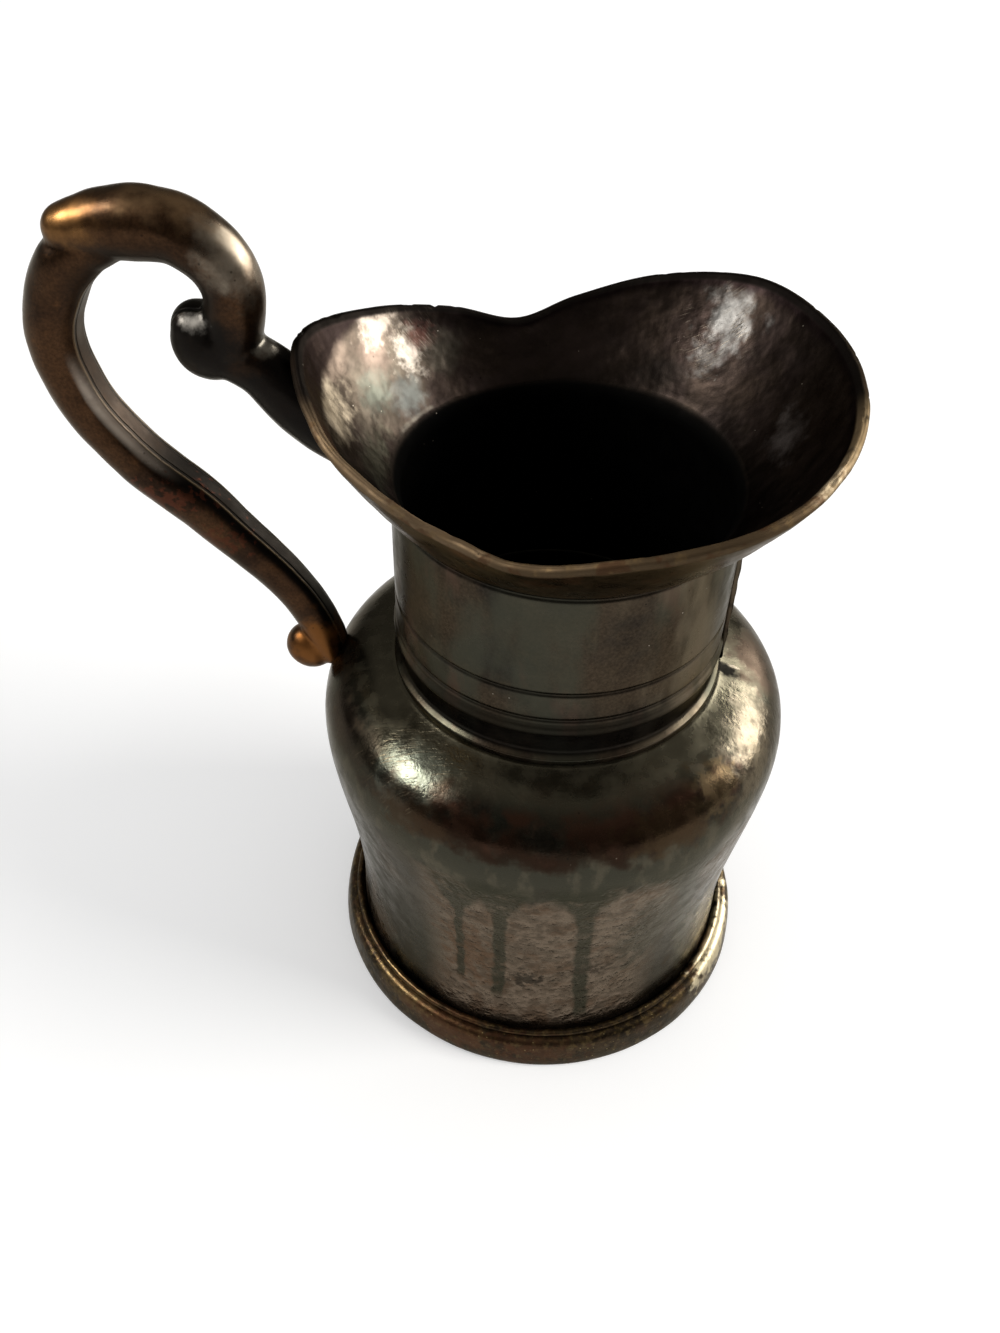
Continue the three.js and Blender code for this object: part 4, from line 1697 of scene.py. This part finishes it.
@dataclass
class SoftLight:
    """A rectangular softbox aimed at the pitcher, either for its shine or for the floor.

    Args:
        name: What it is called.
        azimuth: Where it stands, in degrees from the +X side.
        elevation: How high it stands, in degrees.
        distance: How far off it stands, in metres.
        width: Its width in metres.
        height: Its height in metres.
        power: Its power in watts.
        aim: The place that it faces.
        on_floor: Whether it lights the floor and casts the shadow, and isn't seen in the metal.
    """

    name: str
    azimuth: float
    elevation: float
    distance: float
    width: float
    height: float
    power: float
    aim: tuple[float, float, float] = (0.0, 0.0, 0.05)
    on_floor: bool = False

    def build(self) -> None:
        """Adds the light, unseen by the camera."""
        lamp = bpy.data.lights.new(self.name, "AREA")
        lamp.shape = "RECTANGLE"
        lamp.size, lamp.size_y, lamp.energy = self.width, self.height, self.power
        lamp.color = (1.0, 0.98, 0.94)
        turn, lift = math.radians(self.azimuth), math.radians(self.elevation)
        away = Vector((math.cos(turn) * math.cos(lift), math.sin(turn) * math.cos(lift), math.sin(lift)))
        item = linked(self.name, lamp)
        item.location = Vector(self.aim) + away * self.distance
        item.rotation_euler = (-away).to_track_quat("-Z", "Y").to_euler()
        item.visible_camera = False
        item.visible_diffuse, item.visible_glossy = self.on_floor, not self.on_floor


@dataclass
class Studio:
    """The pale floor, the lights, the room and the camera."""

    camera_place: tuple[float, float, float] = (0.005893, -0.112450, 0.159841)
    heading: float = 6.639
    tilt: float = 45.588
    roll: float = 1.841
    lens: float = 32.41
    sensor: float = 36.0
    clip: Point = (0.01, 50.0)
    floor_size: float = 6.0
    room: float = 0.36
    dome: float = 0.7
    backdrop: float = 1.0
    lights: tuple[SoftLight, ...] = (
        SoftLight("right softbox", 30.0, 20.0, 0.8, 0.7, 0.42, 13.0),
        SoftLight("left softbox", -166.0, 38.0, 0.8, 0.26, 0.3, 5.5),
        SoftLight("left lamp", -166.0, 38.0, 0.8, 0.06, 0.08, 1.0),
        SoftLight("floor softbox", -1.0, 32.0, 2.5, 1.1, 0.8, 42.0, on_floor=True),
    )

    def camera(self) -> None:
        """Places the camera at the photograph's angle."""
        data = bpy.data.cameras.new("camera")
        data.sensor_width, data.lens = self.sensor, self.lens
        data.clip_start, data.clip_end = self.clip
        item = linked("camera", data)
        turns = ((self.heading, "Z"), (self.tilt, "X"), (self.roll, "Z"))
        matrix = Matrix.Translation(self.camera_place)
        for angle, axis in turns:
            matrix = matrix @ Matrix.Rotation(math.radians(angle), 4, axis)
        item.matrix_world = matrix
        bpy.context.scene.camera = item

    def floor(self) -> None:
        """A wide pale floor, lit a little from within as a light table is."""
        mesh = bmesh.new()
        bmesh.ops.create_grid(mesh, x_segments=1, y_segments=1, size=self.floor_size / 2)
        data = mesh_data("floor", mesh)
        material = bpy.data.materials.new("pale floor")
        graph = Graph(material)
        shader = graph.node(
            "ShaderNodeBsdfPrincipled",
            {},
            {
                "Base Color": (0.8, 0.8, 0.8),
                "Roughness": 0.9,
                "Specular IOR Level": 0.1,
                "Emission Color": (1.0, 1.0, 1.0),
                "Emission Strength": 0.3,
            },
        )
        graph.node("ShaderNodeOutputMaterial", {}, {"Surface": shader})
        data.materials.append(material)
        linked("floor", data)

    def world(self) -> None:
        """A dim room in reflections, pale where the camera sees it and an even dome for the floor."""
        world = bpy.data.worlds.new("room")
        bpy.context.scene.world = world
        world.use_nodes = True
        graph = Graph(world)
        seen = graph.node("ShaderNodeLightPath", out="Is Camera Ray")
        spread = graph.node("ShaderNodeLightPath", out="Is Diffuse Ray")
        above = graph.node("ShaderNodeTexCoord", out="Generated")
        up = graph.node("ShaderNodeSeparateXYZ", {}, {0: above}, "Z")
        level = up.rise(0.35, 0.95) * (self.room * 0.65) + self.room * 0.35
        dim = graph.node("ShaderNodeCombineXYZ", {}, {0: level * 1.06, 1: level, 2: level * 0.92})
        dim = graph.blend(spread, dim, (self.dome,) * 3)
        shade = graph.blend(seen, dim, (self.backdrop,) * 3)
        back = graph.node("ShaderNodeBackground", {}, {"Color": shade})
        graph.node("ShaderNodeOutputWorld", {}, {"Surface": back})

    def build(self) -> None:
        """Sets up everything round the pitcher."""
        view = bpy.context.scene.view_settings
        view.view_transform = "Standard"
        self.camera()
        self.floor()
        self.world()
        for light in self.lights:
            light.build()


def main() -> None:
    """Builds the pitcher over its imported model."""
    logging.basicConfig(level=logging.INFO, format="%(name)s: %(message)s", stream=sys.stdout)
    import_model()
    Studio().build()
    log.info("studio: camera, floor and lights")
    body, neck = Body(), Neck()
    body.build()
    Foot().build()
    neck.build()
    Handle().build(body, neck)


if __name__ == "__main__":
    main()
